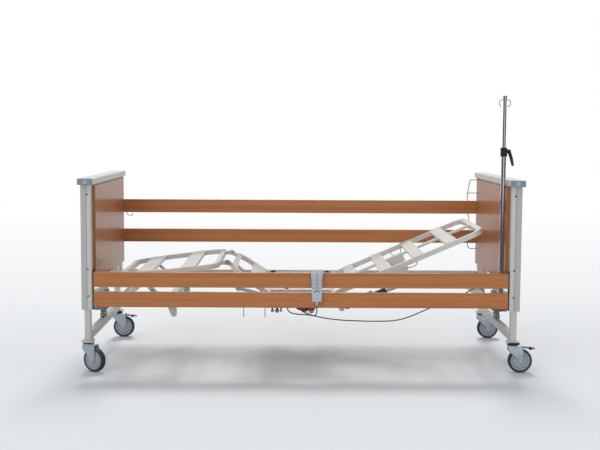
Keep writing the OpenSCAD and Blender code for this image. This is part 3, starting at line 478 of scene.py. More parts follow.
FACING = {"near": (pi / 2, 0, 0), "far": (-pi / 2, 0, 0), "head": (0, pi / 2, 0), "foot": (0, -pi / 2, 0),
          "up": (0, 0, 0), "down": (pi, 0, 0)}


def fixings(name, spots, facing, diameter, height, finish, body, slot, stretch=(1, 1, 1)):
    """Screw, rivet or bolt heads at the given points, all facing one way; along the end panels' top they are
    dark marks of painted slot shadow.
    """
    mesh = bpy.data.meshes.new(name)
    mesh.from_pydata([tuple(spot) for spot in spots], [], [])
    heads = run_tree(piece(name, mesh), heads_tree, finish, Diameter=diameter, Height=height,
                     Turn=FACING.get(facing, facing), Stretch=stretch)
    return own(heads, None, body, slot)


panel_wood = veneer("cherry panel veneer", (0.4, 0.146, 0.047), 2, 0.32)
aluminium = Finish("satin aluminium", (0.42, 0.47, 0.53), 0.3, Metallic=0.7)
aluminium.set("Roughness", 0.26 + 0.14 * aluminium.noise(5.0, 3.0, (40, 40, 2)))
dark_steel = coated("dark plated steel", (0.03, 0.03, 0.034), 0.5, dull=(0.42, 0.2, 60.0, 2.0))
panel_low, panel_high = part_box("end_panels")
panel_thick = 0.015
strips = bmesh.new()
for end, face in (("foot", -1), ("head", 1)):
    board = rounded_copy("end_panels", 0.0012, 3, keep=lambda spot: spot.x * face > 0)
    board.name = end + "_panel"
    own(board, panel_wood, "bed_frame", "panel_wood")
    if face < 0:
        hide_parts("end_panels")
    inner_face = face * (panel_high.x - panel_thick)
    xs = sorted((inner_face - face * 0.0006, face * (panel_high.x - 0.0006)))
    slab(strips, (xs[0], panel_high.y - 0.0004, panel_low.z + 0.001),
         (xs[1], panel_high.y + 0.0016, panel_high.z - 0.001), 0.0005)
    # Painted shadow: dark slot-shaped heads along the top edge stand for the shade in the slots where the
    # panel meets the bar.
    row = [(inner_face, -0.405 + 0.09 * k, panel_high.z - 0.0045) for k in range(10)]
    fixings(end + "_panel_slots", row, "foot" if face > 0 else "head", 0.007, 0.0015, dark_steel, "bed_frame",
            "panel_wood", (1, 9, 1))
own(piece("panel_edge_strips", from_bmesh("panel_edge_strips", strips)), aluminium, "bed_frame", "panel_wood")

# End bar caps and knee caps: blue-grey moulded plugs; each end cap carries a
# bright washer round a dark screw.
cap_plastic = coated("blue-grey moulded plastic", (0.225, 0.275, 0.32), 0.42, cloud=(30.0, 2.0, 0.92, 1.06),
                     peel=(1100.0, 2.0, 0.0001, 0.3))


def standing(spot, axis):
    """Turns a shape made round Z to stand at a spot along an axis."""
    return Matrix.Translation(spot) @ Vector((0, 0, 1)).rotation_difference(Vector(axis)).to_matrix().to_4x4()


def turned(shape, profile, spot, axis=(0, 0, 1), steps=48):
    """Adds a turned shape: pairs of radius and height along an axis through a spot."""
    place = standing(spot, axis)
    rings = []
    for radius, height in profile:
        count = steps if radius > 1e-6 else 1
        rings.append([shape.verts.new(place @ Vector((
            radius * cos(2 * pi * k / steps), radius * sin(2 * pi * k / steps), height)))
            for k in range(count)])
    for lower, upper in zip(rings, rings[1:]):
        for k in range(steps):
            around = [lower[k % len(lower)], lower[(k + 1) % len(lower)], upper[(k + 1) % len(upper)],
                      upper[k % len(upper)]]
            corners = list(dict.fromkeys(around))
            if len(corners) > 2:
                shape.faces.new(corners)


def capped(radius, low, high, edge):
    """Profile of a disc from low to high with rounded rims."""
    return [(0, low), (radius - edge, low), (radius - 0.3 * edge, low + 0.3 * edge), (radius, low + edge),
            (radius, high - edge), (radius - 0.3 * edge, high - 0.3 * edge), (radius - edge, high), (0, high)]


def collar(inside, outside, low, high, edge=0.0008):
    """Profile of a ring with rounded outer rims."""
    return [(inside, low), (outside - edge, low), (outside, low + edge), (outside, high - edge),
            (outside - edge, high), (inside, high), (inside, low)]


def add(name, shape, finish, body, slot, *nodes, smooth_below=40):
    """Welds a shape's doubles and makes it a piece that moves with its body."""
    bmesh.ops.remove_doubles(shape, verts=shape.verts, dist=1e-6)
    return own(piece(name, from_bmesh(name, shape, smooth_below)), finish, body, slot, *nodes)


own(rounded_copy("end_bar_caps", 0.001), cap_plastic, "bed_frame", "cap_plastic", "end_bar_caps")
own(rounded_copy("knee_pins", 0.001), cap_plastic, "thigh", "cap_plastic", "knee_pins")
caps_low, caps_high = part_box("end_bar_caps")
washers = bmesh.new()
bar_middle = caps_high.x - 0.0385
cap_spots = [(face * bar_middle, side * (caps_high.y - 0.0012), (caps_low.z + caps_high.z) / 2)
             for face in (-1, 1) for side in (-1, 1)]
for spot in cap_spots:
    outward = (0, 1 if spot[1] > 0 else -1, 0)
    turned(washers, collar(0.004, 0.0108, 0, 0.0014, 0.0004), spot, outward, 32)
add("cap_washers", washers, zinc, "bed_frame", "cap_plastic")
for side, facing in ((-1, "near"), (1, "far")):
    fixings("cap_screws_" + facing, [spot for spot in cap_spots if spot[1] * side > 0], facing, 0.0084, 0.001,
            dark_steel, "bed_frame", "cap_plastic")

# Sleeve linings: white nylon, a snug collar for the leg at the foot of each post.
bush_plastic = coated("white nylon", (0.66, 0.66, 0.65), 0.45, dull=(0.42, 0.12, 40.0, 2.0))
own(rounded_copy("sleeve_bushes", 0.0008), bush_plastic, "bed_frame", "bush_plastic", "sleeve_bushes")

# Post fittings: socket screws where the posts take the frame and the bars,
# and rivets through the folded slats.
posts_low, posts_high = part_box("sleeve_posts")
post_face = posts_high.y
for side, facing in ((-1, "near"), (1, "far")):
    spots = [(face * (post_middle - 0.008), side * (post_face - 0.0002), height)
             for face in (-1, 1) for height in (0.533, posts_low.z + 0.072, posts_high.z - 0.05)]
    fixings("post_screws_" + facing, spots, facing, 0.009, 0.0016, dark_steel, "bed_frame", "frame_paint")


def pin(joint):
    return Vector(joints[joint]["pos_m"])


def section_spots(joint, way, places, half):
    """Rivet places on a section that lies at its rest angle: distance from the pivot, across, height."""
    pivot = pin(joint)
    return [pivot + Matrix.Rotation(way, 3, "Y") @ Vector((along, across, height))
            for along, height in places for across in (-half, half)]


back_lean = -radians(23.3)
slat_top = 0.0147
back_places = [(start + inset, slat_top) for start in (0.07, 0.247, 0.437, 0.625) for inset in (0.014, 0.048)]
fixings("backrest_rivets", section_spots("backrest_hinge", back_lean, back_places, 0.341), (0, back_lean, 0),
        0.008, 0.0014, section_paint, "backrest", "section_paint")
seat_side = 0.335
seat_places = (-0.152, -0.104, -0.062, -0.014, 0.012, 0.06, 0.096, 0.144)
fixings("seat_rivets", [(along, side * seat_side, 0.4106) for along in seat_places for side in (-1, 1)],
        "up", 0.008, 0.0013, section_paint, "bed_frame", "section_paint")

# Wheels: a grey nylon disc with concentric rings and short dark slots, in a
# dark blue-grey rubber tyre with a fine cross tread.
hub_grey = coated("grey nylon", (0.36, 0.375, 0.415), 0.42, cloud=(40.0, 3.0, 0.9, 1.1),
                  dull=(0.38, 0.14, 70.0, 2.0), peel=(900.0, 2.0, 0.0001, 0.3))
rim_pale = coated("pale hub rim", (0.6, 0.64, 0.69), 0.35, dull=(0.32, 0.12, 60.0, 2.0))
rubber = coated("blue-grey rubber", (0.032, 0.046, 0.058), 0.55, cloud=(34.0, 4.0, 0.75, 1.4),
                dull=(0.5, 0.25, 55.0, 3.0), peel=(700.0, 3.0, 0.0002, 0.5))

# Blocks on a ring, square to it, as for treads, slots and cooling ribs
blocks_tree, given = new_tree("blocks on a ring", Count="Int", Radius="Float", Block="Vector", Height="Float")
ring_line = grow(blocks_tree, "GeometryNodeMeshCircle", given["Count"], given["Radius"])
block = grow(blocks_tree, "GeometryNodeMeshCube", given["Block"], 2, 2, 2)
where = grow(blocks_tree, "GeometryNodeInputPosition")
aligned = grow(blocks_tree, "FunctionNodeAlignRotationToVector", None, 1.0, where.outputs[0], axis="X",
               pivot_axis="Z")
on_ring = grow(blocks_tree, "GeometryNodeInstanceOnPoints", ring_line.outputs[0], None, block.outputs[0],
               None, None, aligned.outputs[0])
lift_by = grow(blocks_tree, "ShaderNodeCombineXYZ", 0.0, 0.0, given["Height"])
lifted = grow(blocks_tree, "GeometryNodeTransform", on_ring.outputs[0], None, lift_by.outputs[0])
end_tree(blocks_tree, given, lifted.outputs[0])


def ring_of_blocks(name, count, radius, block_size, height, finish, place):
    ring = run_tree(piece(name, bpy.data.meshes.new(name)), blocks_tree, finish, Count=count, Radius=radius,
                    Block=block_size, Height=height)
    ring.data.transform(place)
    return ring


def castor_place(corner):
    """A castor's own frame: X from the swivel to the axle, Y along the axle, Z up, origin on the floor."""
    swivel = pin("swivel_" + corner)
    axle = pin("roll_" + corner)
    side = Vector(joints["roll_" + corner]["axis"])
    forward = Vector((axle.x - swivel.x, axle.y - swivel.y, 0)).normalized()
    matrix = Matrix((forward, side, Vector((0, 0, 1)))).transposed().to_4x4()
    matrix.translation = (swivel.x, swivel.y, 0)
    return matrix, axle.z, (Vector((axle.x, axle.y, 0)) - Vector((swivel.x, swivel.y, 0))).length


corners = ("near_foot", "far_foot", "near_head", "far_head")
hub_edge, tyre_edge = 51, 62.5


def mm(*points):
    """Points written in millimetres, in metres."""
    return [tuple(part / 1000 for part in point) for point in points]


hub_face = mm((4.1, 17.5), (12.5, 17.5), (14, 15), (18, 14), (33, 12.8), (34.5, 14), (36.5, 14),
              (37.5, 12.4), (43.5, 12.4), (44.5, 14.1), (46.2, 14.1), (47, 11.8), (48.2, 11.8), (49, 14.2),
              (hub_edge, 14.2))
tyre_face = mm((hub_edge, 13), (52.2, 15.2), (56, 16), (59.2, 14.8), (61.1, 11.8), (62, 7), (61.8, 6.2),
               (61.8, 5), (62.4, 4.2), (tyre_edge, 0))
for corner in corners:
    place, axle_height, trail = castor_place(corner)
    spot, axis = place @ Vector((trail, 0, axle_height)), place.to_3x3() @ Vector((0, 1, 0))
    hub = bmesh.new()
    turned(hub, hub_face + [(radius, -height) for radius, height in reversed(hub_face)] + hub_face[:1], spot,
           axis, 72)
    add("hub_" + corner, hub, hub_grey, "wheel_" + corner, "hub_grey", "hub_" + corner, smooth_below=30)
    tyre = bmesh.new()
    turned(tyre, tyre_face + [(radius, -height) for radius, height in reversed(tyre_face[:-1])]
           + tyre_face[:1], spot, axis, 72)
    add("tyre_" + corner, tyre, rubber, "wheel_" + corner, "tyre", "tyre_" + corner, smooth_below=50)
    upright = standing(spot, axis)
    tread = ring_of_blocks("tread_" + corner, 80, 0.0615, (0.0014, 0.0016, 0.021), 0.0, rubber, upright)
    own(tread, None, "wheel_" + corner, "tyre")
    dark_lines, bright_lines = bmesh.new(), bmesh.new()
    for side in (-1, 1):
        slots = ring_of_blocks("hub_slots_%s_%s" % (corner, "in" if side > 0 else "out"), 12, 0.0405,
                               (0.002, 0.0125, 0.0008), side * 0.0126, rubber, upright)
        own(slots, None, "wheel_" + corner, "hub_grey")
        face_axis = side * axis
        turned(dark_lines, collar(0.0375, 0.0387, 0.0122, 0.0128, 0.0002), spot, face_axis, 64)
        turned(dark_lines, collar(0.0484, 0.0496, 0.0122, 0.0146, 0.0002), spot, face_axis, 64)
        turned(bright_lines, collar(0.0448, 0.0466, 0.0122, 0.0145, 0.0003), spot, face_axis, 64)
    add("hub_lines_" + corner, dark_lines, rubber, "wheel_" + corner, "hub_grey")
    add("hub_rims_" + corner, bright_lines, rim_pale, "wheel_" + corner, "hub_grey")

# Castor forks: pressed zinc-plated steel with a round swivel crown, two arms
# with an upright stiffening rib each, and a bolt with a nut through the axle.
def plate(shape, outline, low, high, edge=0.0005):
    """Adds a plate with rounded rims: an outline in XZ, from low to high along Y."""
    rings = [[shape.verts.new((x, y, z)) for x, z in outline] for y in (low, high)]
    faces = [shape.faces.new(ring) for ring in rings]
    count = len(outline)
    for k in range(count):
        shape.faces.new((rings[0][k], rings[0][(k + 1) % count], rings[1][(k + 1) % count], rings[1][k]))
    rims = [rim for face in faces for rim in face.edges]
    round_edges(shape, rims, edge)


def arc(middle, radius, start, stop, count=10):
    """Points on an arc in XZ, angles in degrees."""
    return [(middle[0] + radius * cos(radians(start + (stop - start) * k / count)),
             middle[1] + radius * sin(radians(start + (stop - start) * k / count))) for k in range(count + 1)]


crown_top, arm_inside, arm_wall = 0.1447, 0.019, 0.003
for corner in corners:
    place, axle_height, trail = castor_place(corner)
    fork = bmesh.new()
    turned(fork, [(0, crown_top), (0.017, crown_top), (0.0195, crown_top - 0.0012),
                  (0.025, crown_top - 0.0016),
                  (0.028, crown_top - 0.0045), (0.0285, crown_top - 0.0075), (0.027, crown_top - 0.0105),
                  (0, crown_top - 0.0105)], (0, 0, 0))
    slab(fork, (-0.004, -arm_inside - 0.002, crown_top - 0.0085),
         (trail + 0.006, arm_inside + 0.002, crown_top - 0.0045))
    web = [(-0.024, crown_top - 0.004), (trail + 0.008, crown_top - 0.004),
           (trail + 0.0135, crown_top - 0.012)]
    web += arc((trail, axle_height), 0.014, 0, -180) + [(trail - 0.0145, axle_height + 0.012),
            (-0.024, crown_top - 0.03)]
    rib = [(trail - 0.0085, crown_top - 0.01), (trail + 0.0085, crown_top - 0.01)] + arc(
        (trail, axle_height), 0.0105, 0, -180) + [(trail - 0.0105, axle_height + 0.01)]
    for side in (-1, 1):
        inner, outer = side * arm_inside, side * (arm_inside + arm_wall)
        plate(fork, web, min(inner, outer), max(inner, outer))
        plate(fork, rib, min(outer, outer + side * 0.0016), max(outer, outer + side * 0.0016), 0.001)
        bolt = (trail, outer + side * 0.0016, axle_height)
        for radius, low, high, edge, steps in ((0.0078, 0, 0.0018, 0.0005, 32),
                (0.0058, 0.0018, 0.0062, 0.0008, 6),
                (0.0028, 0.0062, 0.0078, 0.0006, 20)):
            turned(fork, capped(radius, low, high, edge), bolt, (0, side, 0), steps)
    fork.transform(place)
    add("fork_" + corner, fork, zinc, "fork_" + corner, "zinc", "fork_" + corner, smooth_below=38)
    shroud = bmesh.new()
    turned(shroud, collar(0.0256, 0.03, 0.1453, 0.1498, 0.0012), (0, 0, 0))
    if "pedal_" + corner in frame["nodes"]:
        for y in (-0.0315, 0.0302):
            slab(shroud, (-0.031, y, 0.1512), (0.031, y + 0.0013, 0.16), 0.0005)
    shroud.transform(Matrix.Translation(place.translation))
    add("castor_seal_" + corner, shroud, black_plastic, corner.split("_")[1] + "_base", "black_plastic")

# Brake pedals: black moulded levers with a ridged tread and an eye near the end.
for corner in ("near_head", "far_foot"):
    node = "pedal_" + corner
    own(rounded_copy(node, 0.001), black_plastic, node, "black_plastic", node)
    place, axle_height, trail = castor_place(corner)
    eye = bmesh.new()
    turned(eye, collar(0.0035, 0.0072, -0.0135, 0.0135, 0.001), (trail + 0.052, 0, crown_top - 0.0185),
           (0, 1, 0), 32)
    for k in range(4):
        slab(eye, (trail + 0.06 + 0.004 * k, -0.013, crown_top - 0.0175 - 0.0007 * k),
             (trail + 0.062 + 0.004 * k, 0.013, crown_top - 0.0145 - 0.0007 * k), 0.0004)
    eye.transform(place)
    add(node + "_eye", eye, black_plastic, node, "black_plastic")

# Lift drives: one upright in each end. A grey gear housing in two halves, a
# ribbed black motor, a red release ring at the head end, a zinc outer tube.
drive_grey = coated("drive housing grey", (0.19, 0.225, 0.255), 0.42, cloud=(22.0, 3.0, 0.9, 1.08),
                    peel=(700.0, 2.0, 0.0001, 0.4))
red_plastic = coated("red release ring", (0.52, 0.045, 0.018), 0.4, dull=(0.35, 0.15, 60.0, 2.0))
pale_steel = coated("pale pin end", (0.72, 0.74, 0.78), 0.28, dull=(0.24, 0.12, 90.0, 2.0), Metallic=0.4)


def ribbed(radius, low, high, count, depth, edge=0.002):
    """Profile of a round motor can with ring grooves and rounded ends."""
    pitch = (high - low - 8 * edge) / count
    rings = [(0, low), (radius - edge, low), (radius, low + edge)]
    for k in range(count):
        start = low + 4 * edge + pitch * k
        rings += [(radius, start), (radius - depth, start + 0.2 * pitch),
                  (radius - depth, start + 0.5 * pitch),
                  (radius, start + 0.7 * pitch)]
    return rings + [(radius, high - edge), (radius - edge, high), (0, high)]


housing_deep, lug_side, motor_height = 0.053, 0.0335, 0.318
for end, face in (("foot", -1), ("head", 1)):
    node, body = end + "_lift_drive", end + "_base"
    low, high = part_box(node)
    middle = low.x + housing_deep if face < 0 else high.x - housing_deep
    housing = bmesh.new()
    for part_low, part_high in (((-0.027, -0.042, 0.246), (0.053, -0.0008, 0.356)),
                                ((-0.027, 0.0008, 0.246), (0.053, 0.042, 0.356)),
                                ((-0.025, -0.002, 0.248), (0.051, 0.002, 0.354))):
        xs = sorted((middle + face * part_low[0], middle + face * part_high[0]))
        slab(housing, (xs[0], part_low[1], part_low[2]), (xs[1], part_high[1], part_high[2]), 0.005, 3)
    add(end + "_drive_housing", housing, drive_grey, body, "drive_grey", node)
    foot_lug = rounded_copy(node, 0.001, keep=lambda spot: spot.z < 0.2458)
    foot_lug.name = end + "_drive_lug"
    own(foot_lug, drive_grey, body, "drive_grey")
    pin_height = low.z + 0.012
    bands = bmesh.new()
    for side in (-1, 1):
        turned(bands, collar(0.0062, 0.0118, 0, 0.005, 0.0015), (middle, side * lug_side, pin_height),
               (0, side, 0), 36)
    turned(bands, ribbed(0.031, 0.0, 0.106, 8, 0.0014), (middle, -0.042, motor_height), (0, -1, 0), 56)
    turned(bands, collar(0.0, 0.0105, 0.106, 0.1075, 0.0005), (middle, -0.042, motor_height), (0, -1, 0), 32)
    add(end + "_drive_motor", bands, black_plastic, body, "black_plastic")
    pins = bmesh.new()
    for side in (-1, 1):
        turned(pins, capped(0.006, -0.002, 0.0042, 0.001), (middle, side * lug_side, pin_height),
               (0, side, 0), 32)
    add(end + "_drive_pin", pins, pale_steel, body, "zinc")
    if end == "head":
        rings = bmesh.new()
        turned(rings, mm((0, 0), (17, 0), (19, 2), (19, 6), (17.8, 7.2), (19, 8.4), (19, 12), (16, 15),
                         (8, 16), (7, 13), (0, 13)), (middle + 0.014, -0.04, 0.266), (0, -1, 0), 44)
        add("lift_release_ring", rings, red_plastic, body, "drive_grey")
    tube = bmesh.new()
    turned(tube, mm((13.1, 355.5), (25.5, 355.5), (25.5, 364), (23, 367), (22, 368), (22, 860),
                    (22.8, 860.5), (22.8, 878), (21.5, 880), (13.1, 880), (13.1, 355.5)), (middle, 0, 0))
    add(end + "_drive_tube", tube, zinc, body, "zinc")
    fixings(end + "_drive_screws", [(middle + face * along, -0.0418, height) for along in (-0.018, 0.044)
            for height in (0.342, 0.3)], "near", 0.008, 0.0016, dark_steel, body, "drive_grey")

# Section drives: two slim black actuators under the sections, each with a rear
# eye, a gear housing, a round motor beside it and an outer tube for its piston.
def along_drive(prefix):
    """A drive's own frame: X from its rear pin along its piston, Y across the bed."""
    rear = pin(prefix + "_drive_hinge")
    forward = Vector(joints[prefix + "_piston_slide"]["axis"])
    matrix = Matrix((forward, Vector((0, 1, 0)), forward.cross(Vector((0, 1, 0))))).transposed().to_4x4()
    matrix.translation = rear
    return matrix


drive_black = coated("dark drive plastic", (0.04, 0.041, 0.046), 0.42, cloud=(30.0, 3.0, 0.8, 1.25),
                     peel=(800.0, 2.0, 0.0001, 0.4))
for prefix, tube_end in (("back", 0.265), ("thigh", 0.3)):
    node = prefix + "_drive"
    place = along_drive(prefix)
    shell = bmesh.new()
    slab(shell, (0.0205, -0.03, -0.019), (0.0495, 0.044, 0.019), 0.004, 3)
    slab(shell, (0.0503, -0.03, -0.019), (0.08, 0.044, 0.019), 0.004, 3)
    slab(shell, (0.023, -0.028, -0.017), (0.078, 0.042, 0.017), 0.003)
    slab(shell, (0.006, -0.0175, -0.0115), (0.024, 0.0175, 0.0115), 0.002)
    turned(shell, collar(0.00505, 0.013, -0.018, 0.018, 0.0012), (0, 0, 0), (0, 1, 0), 36)
    turned(shell, [(0.0101, 0.079), (0.018, 0.079), (0.018, tube_end - 0.03), (0.0195, tube_end - 0.028),
                   (0.0195, tube_end - 0.004), (0.018, tube_end), (0.0101, tube_end), (0.0101, 0.079)],
                   (0, 0, 0), (1, 0, 0))
    turned(shell, ribbed(0.022, 0.0803, 0.1903, 5, 0.001), (0, 0.044, 0), (1, 0, 0), 48)
    shell.transform(place)
    add(node + "_shell", shell, drive_black, node, "black_plastic", node)
    spots = [place @ Vector((along, -0.0297, height)) for along in (0.028, 0.072)
             for height in (-0.012, 0.012)]
    fixings(node + "_screws", spots, "near", 0.006, 0.0014, zinc, node, "black_plastic")
for name, radius, start, middle, body in (
        ("carrier_release_ring", 0.019, 0.06, (0.063, 0, 0.268), "bed_frame"),
        ("thigh_release_ring", 0.0185, 0.027, (0.012, 0, 0.267), "thigh_drive")):
    release = bmesh.new()
    turned(release, capped(radius, start, start + 0.013, 0.002), middle, (0, -1, 0), 44)
    add(name, release, red_plastic, body, "black_plastic")

# Control box: a black two-part housing hung under a cross tube, with round
# plugs along its lower edge and a gland on the side and on the front.
box_finish = coated("control box plastic", (0.03, 0.031, 0.035), 0.46, cloud=(24.0, 3.0, 0.8, 1.25),
                    peel=(800.0, 2.0, 0.0001, 0.4))
box_low, box_high = Vector((-0.19, -0.2, 0.288)), Vector((-0.05, -0.09, 0.344))
housing = bmesh.new()
slab(housing, box_low, (box_high.x, box_high.y, box_low.z + 0.03), 0.004, 3)
slab(housing, (box_low.x, box_low.y, box_low.z + 0.0308), box_high, 0.004, 3)
slab(housing, box_low + Vector((0.002, 0.002, 0.004)), box_high - Vector((0.002, 0.002, 0.004)), 0.002)
slab(housing, (-0.182, -0.17, 0.343), (-0.148, -0.12, 0.3458), 0.0008)
for k in range(7):
    slab(housing, (-0.176 + 0.018 * k, box_low.y - 0.0008, 0.322),
         (-0.164 + 0.018 * k, box_low.y + 0.002, 0.3245), 0.0005)
plug_y, plug_z = -0.188, 0.272
plug_sizes = ((-0.152, 0.008), (-0.127, 0.011), (-0.106, 0.006))
for along, size in plug_sizes:
    slab(housing, (along - 0.004, -0.192, 0.274), (along + 0.004, -0.184, 0.289), 0.0012)
    turned(housing, collar(size * 0.52, size, -0.0045, 0.0045, 0.0014), (along, plug_y, plug_z), (0, -1, 0),
           36)
turned(housing, collar(0.0031, 0.007, -0.0035, 0.003, 0.0012), (-0.05, -0.145, 0.296), (1, 0, 0), 32)
turned(housing, collar(0.0031, 0.0065, -0.0035, 0.003, 0.0012), (-0.072, -0.2, 0.296), (0, -1, 0), 32)
add("control_housing", housing, box_finish, "bed_frame", "black_plastic", "control_box")
plugs = bmesh.new()
for (along, _), size in zip(plug_sizes, (0.0042, 0.0057, 0.0032)):
    turned(plugs, capped(size, -0.003, 0.0038, 0.001), (along, plug_y, plug_z), (0, -1, 0), 32)
add("control_plug_centres", plugs, pale_steel, "bed_frame", "black_plastic")

# Handset: a pale blue-grey shell with a domed top and a wider head, hung on
# the board by a hook; five rows of soft keys stand in a shallow frame.
shell_finish = coated("pale blue-grey shell", (0.5, 0.565, 0.61), 0.36, cloud=(34.0, 3.0, 0.95, 1.04),
                      dull=(0.33, 0.12, 60.0, 2.0), peel=(1200.0, 2.0, 0.00008, 0.3))
key_finish = coated("pale soft keys", (0.54, 0.6, 0.645), 0.5, dull=(0.46, 0.1, 80.0, 2.0))
mark_finish = coated("dark printed marks", (0.055, 0.062, 0.075), 0.5, dull=(0.45, 0.1, 90.0, 2.0))
seam_finish = coated("grey moulded seam", (0.2, 0.235, 0.27), 0.5, dull=(0.45, 0.1, 90.0, 2.0))


def rounded_ring(shape, height, middle, width, depth, corner, per_corner=6):
    """A ring of points: a rectangle with round corners, level at the given height."""
    ring = []
    for number, (side_x, side_y) in enumerate(((1, 1), (-1, 1), (-1, -1), (1, -1))):
        for k in range(per_corner + 1):
            angle = pi / 2 * (number + k / per_corner)
            ring.append(shape.verts.new((
                middle[0] + side_x * (width / 2 - corner) + corner * cos(angle),
                middle[1] + side_y * (depth / 2 - corner) + corner * sin(angle), height)))
    return ring


def lofted(shape, rings):
    """Joins rings of equal count into a closed skin."""
    for lower, upper in zip(rings, rings[1:]):
        for k in range(len(lower)):
            shape.faces.new((lower[k], lower[(k + 1) % len(lower)], upper[(k + 1) % len(lower)], upper[k]))
    shape.faces.new(rings[0])
    shape.faces.new(rings[-1])


keys_low, keys_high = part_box("up_buttons")
key_pitch = (keys_high.z - keys_low.z - 0.0122) / 4
key_top = keys_high.z - 0.0061
rail_low, rail_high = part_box("near_rail_top")
rail_front = rail_low.y
hand_x = (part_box("handset")[0].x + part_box("handset")[1].x) / 2
hand_y = rail_front - 0.015
# height, width, depth and corner of each level
shell_levels = mm((372.5, 44, 18, 4), (374.5, 49, 22.5, 5), (378.5, 51.5, 24.8, 6), (430, 54, 25.5, 6),
                  (494, 56, 26, 6), (497.5, 57.5, 26, 6), (500, 60, 27, 6), (503, 61, 27.2, 6),
                  (525, 61, 27.2, 6), (530, 59.6, 26.8, 6), (533.5, 56, 25.5, 6), (536, 48, 23, 6),
                  (538, 36, 18, 5), (539.4, 20, 11, 4), (539.9, 8, 5, 2))
shape = bmesh.new()
lofted(shape, [rounded_ring(shape, height, (hand_x, hand_y), width, depth, corner)
               for height, width, depth, corner in shell_levels])
shell = piece("handset_shell", from_bmesh("handset_shell", shape, 60))
own(shell, shell_finish, "near_rail_top", "handset_shell", "handset")
face_y = hand_y - 0.0128
trim = bmesh.new()
turned(trim, mm((0, 352), (4.6, 352), (5, 353.5), (4.2, 354.5), (5.3, 356), (4.5, 357.2), (5.7, 358.8),
                (4.9, 360.2), (6.2, 362), (5.4, 363.4), (6.8, 365.5), (7.8, 373.5), (0, 373.5)),
                (hand_x, hand_y, 0), steps=32)
add("handset_strain_relief", trim, shell_finish, "near_rail_top", "handset_shell")
frame_lines = bmesh.new()
for side in (-1, 1):
    slab(frame_lines, (hand_x + side * 0.0222 - 0.0003, face_y - 0.0008, key_top - 3.5 * key_pitch),
         (hand_x + side * 0.0222 + 0.0003, face_y + 0.003, key_top + 0.5 * key_pitch), 0.0002)
for k in range(4):
    height = key_top - (k + 0.5) * key_pitch
    slab(frame_lines, (hand_x - 0.019, face_y - 0.001, height - 0.001),
         (hand_x + 0.019, face_y + 0.003, height + 0.001),
         0.0003)
for low, high in (((-0.0305, -0.004, 0.499), (0.0305, 0.004, 0.4998)),
                  ((-0.0262, -0.013, 0.392), (0.0262, 0.0, 0.3926))):
    slab(frame_lines, (hand_x + low[0], hand_y + low[1], low[2]),
         (hand_x + high[0], hand_y + high[1], high[2]), 0.0002)
add("handset_seams", frame_lines, seam_finish, "near_rail_top", "handset_shell")
marks = bmesh.new()
bow_height = key_top - 4 * key_pitch - 0.0165
bow = arc((hand_x, bow_height), 0.015, 10, 170, 14)
plate(marks, bow + arc((hand_x, bow_height - 0.0004), 0.0118, 168, 12, 14), face_y - 0.0008, face_y + 0.001,
      0.0001)
for k in range(4):
    row = key_top - k * key_pitch - 0.0035
    plate(marks, [(hand_x - 0.0058, row - 0.003), (hand_x - 0.0034, row - 0.003), (hand_x, row + 0.0022),
                  (hand_x + 0.0034, row - 0.003), (hand_x + 0.0058, row - 0.003),
                  (hand_x + 0.0008, row + 0.0052),
                  (hand_x - 0.0008, row + 0.0052)], face_y - 0.0008, face_y + 0.001, 0.0001)
add("handset_marks", marks, mark_finish, "near_rail_top", "handset_shell")
hook = bmesh.new()
hook_half, hook_top = 0.022, rail_high.z - 0.0072
for start, low in ((-0.002, rail_high.z - 0.0109), (0.0243, rail_high.z - 0.045)):
    slab(hook, (hand_x - hook_half, rail_front + start, low),
         (hand_x + hook_half, rail_front + 0.028, hook_top), 0.0008)
add("handset_hook", hook, dark_steel, "near_rail_top", "handset_shell")
for node, side, way in (("up_buttons", 1, 1), ("down_buttons", -1, -1)):
    keys, arrows = bmesh.new(), bmesh.new()
    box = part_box(node)
    key_x = (box[0].x + box[1].x) / 2
    for k in range(5):
        height = box[1].z - 0.0061 - key_pitch * k
        turned(keys, mm((0, -1), (6, -1), (6.1, 2.6), (5.5, 3.5), (3.6, 3.9), (0, 4)),
               (key_x, box[1].y - 0.001, height), (0, -1, 0), 32)
        plate(arrows, [(key_x - 0.0033, height - way * 0.002), (key_x + 0.0033, height - way * 0.002),
                       (key_x, height + way * 0.003)], box[0].y - 0.0003, box[0].y + 0.0008, 0.0001)
    add(node + "_keys", keys, key_finish, node, "button_plastic", node)
    add(node + "_arrows", arrows, mark_finish, node, "button_plastic")

# Infusion pole: bright chrome tube in tube, with a cap and two hooks, held by a
# black clamp whose lever squeezes the lower tube.
chrome = Finish("bright chrome", (0.66, 0.68, 0.72), 0.1, Metallic=1.0)
chrome.set("Roughness", 0.07 + 0.08 * chrome.noise(30.0, 3.0, (1, 1, 0.2)))
for node in ("pole_lower", "pole_upper"):
    own(rounded_copy(node, 0.0006), chrome, node, "pole_chrome", node)
pole = pin("pole_turn")
clamp_low, clamp_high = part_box("pole_clamp")
clamp = rounded_copy("pole_clamp", 0.0015, 3)
own(clamp, black_plastic, "pole_lower", "black_plastic", "pole_clamp")
cuffs = bmesh.new()
for height in (clamp_low.z + 0.004, clamp_high.z - 0.007):
    turned(cuffs, collar(0.0171, 0.0182, 0, 0.003, 0.0008), (pole.x, pole.y, height))
turned(cuffs, collar(0.0093, 0.0145, -0.001, 0.004, 0.0015), (pole.x, pole.y, clamp_high.z))
add("clamp_cuffs", cuffs, black_plastic, "pole_lower", "black_plastic")
lever_pin = pin("clamp_lever")
lever = bmesh.new()
narrow = 0.58
front_edge = mm((7.5, -3), (15, -12), (23.5, -27), (31, -46), (36.5, -65), (37.5, -73))
back_edge = mm((33, -74.5), (28.5, -68), (21, -52), (12, -33), (3, -16), (-5, -7))
front_edge = [(narrow * x + 0.003, z) for x, z in front_edge]
back_edge = [(narrow * x - 0.001, z) for x, z in back_edge]
cheek = arc((0, 0), 0.008, 150, 20, 8) + front_edge + back_edge
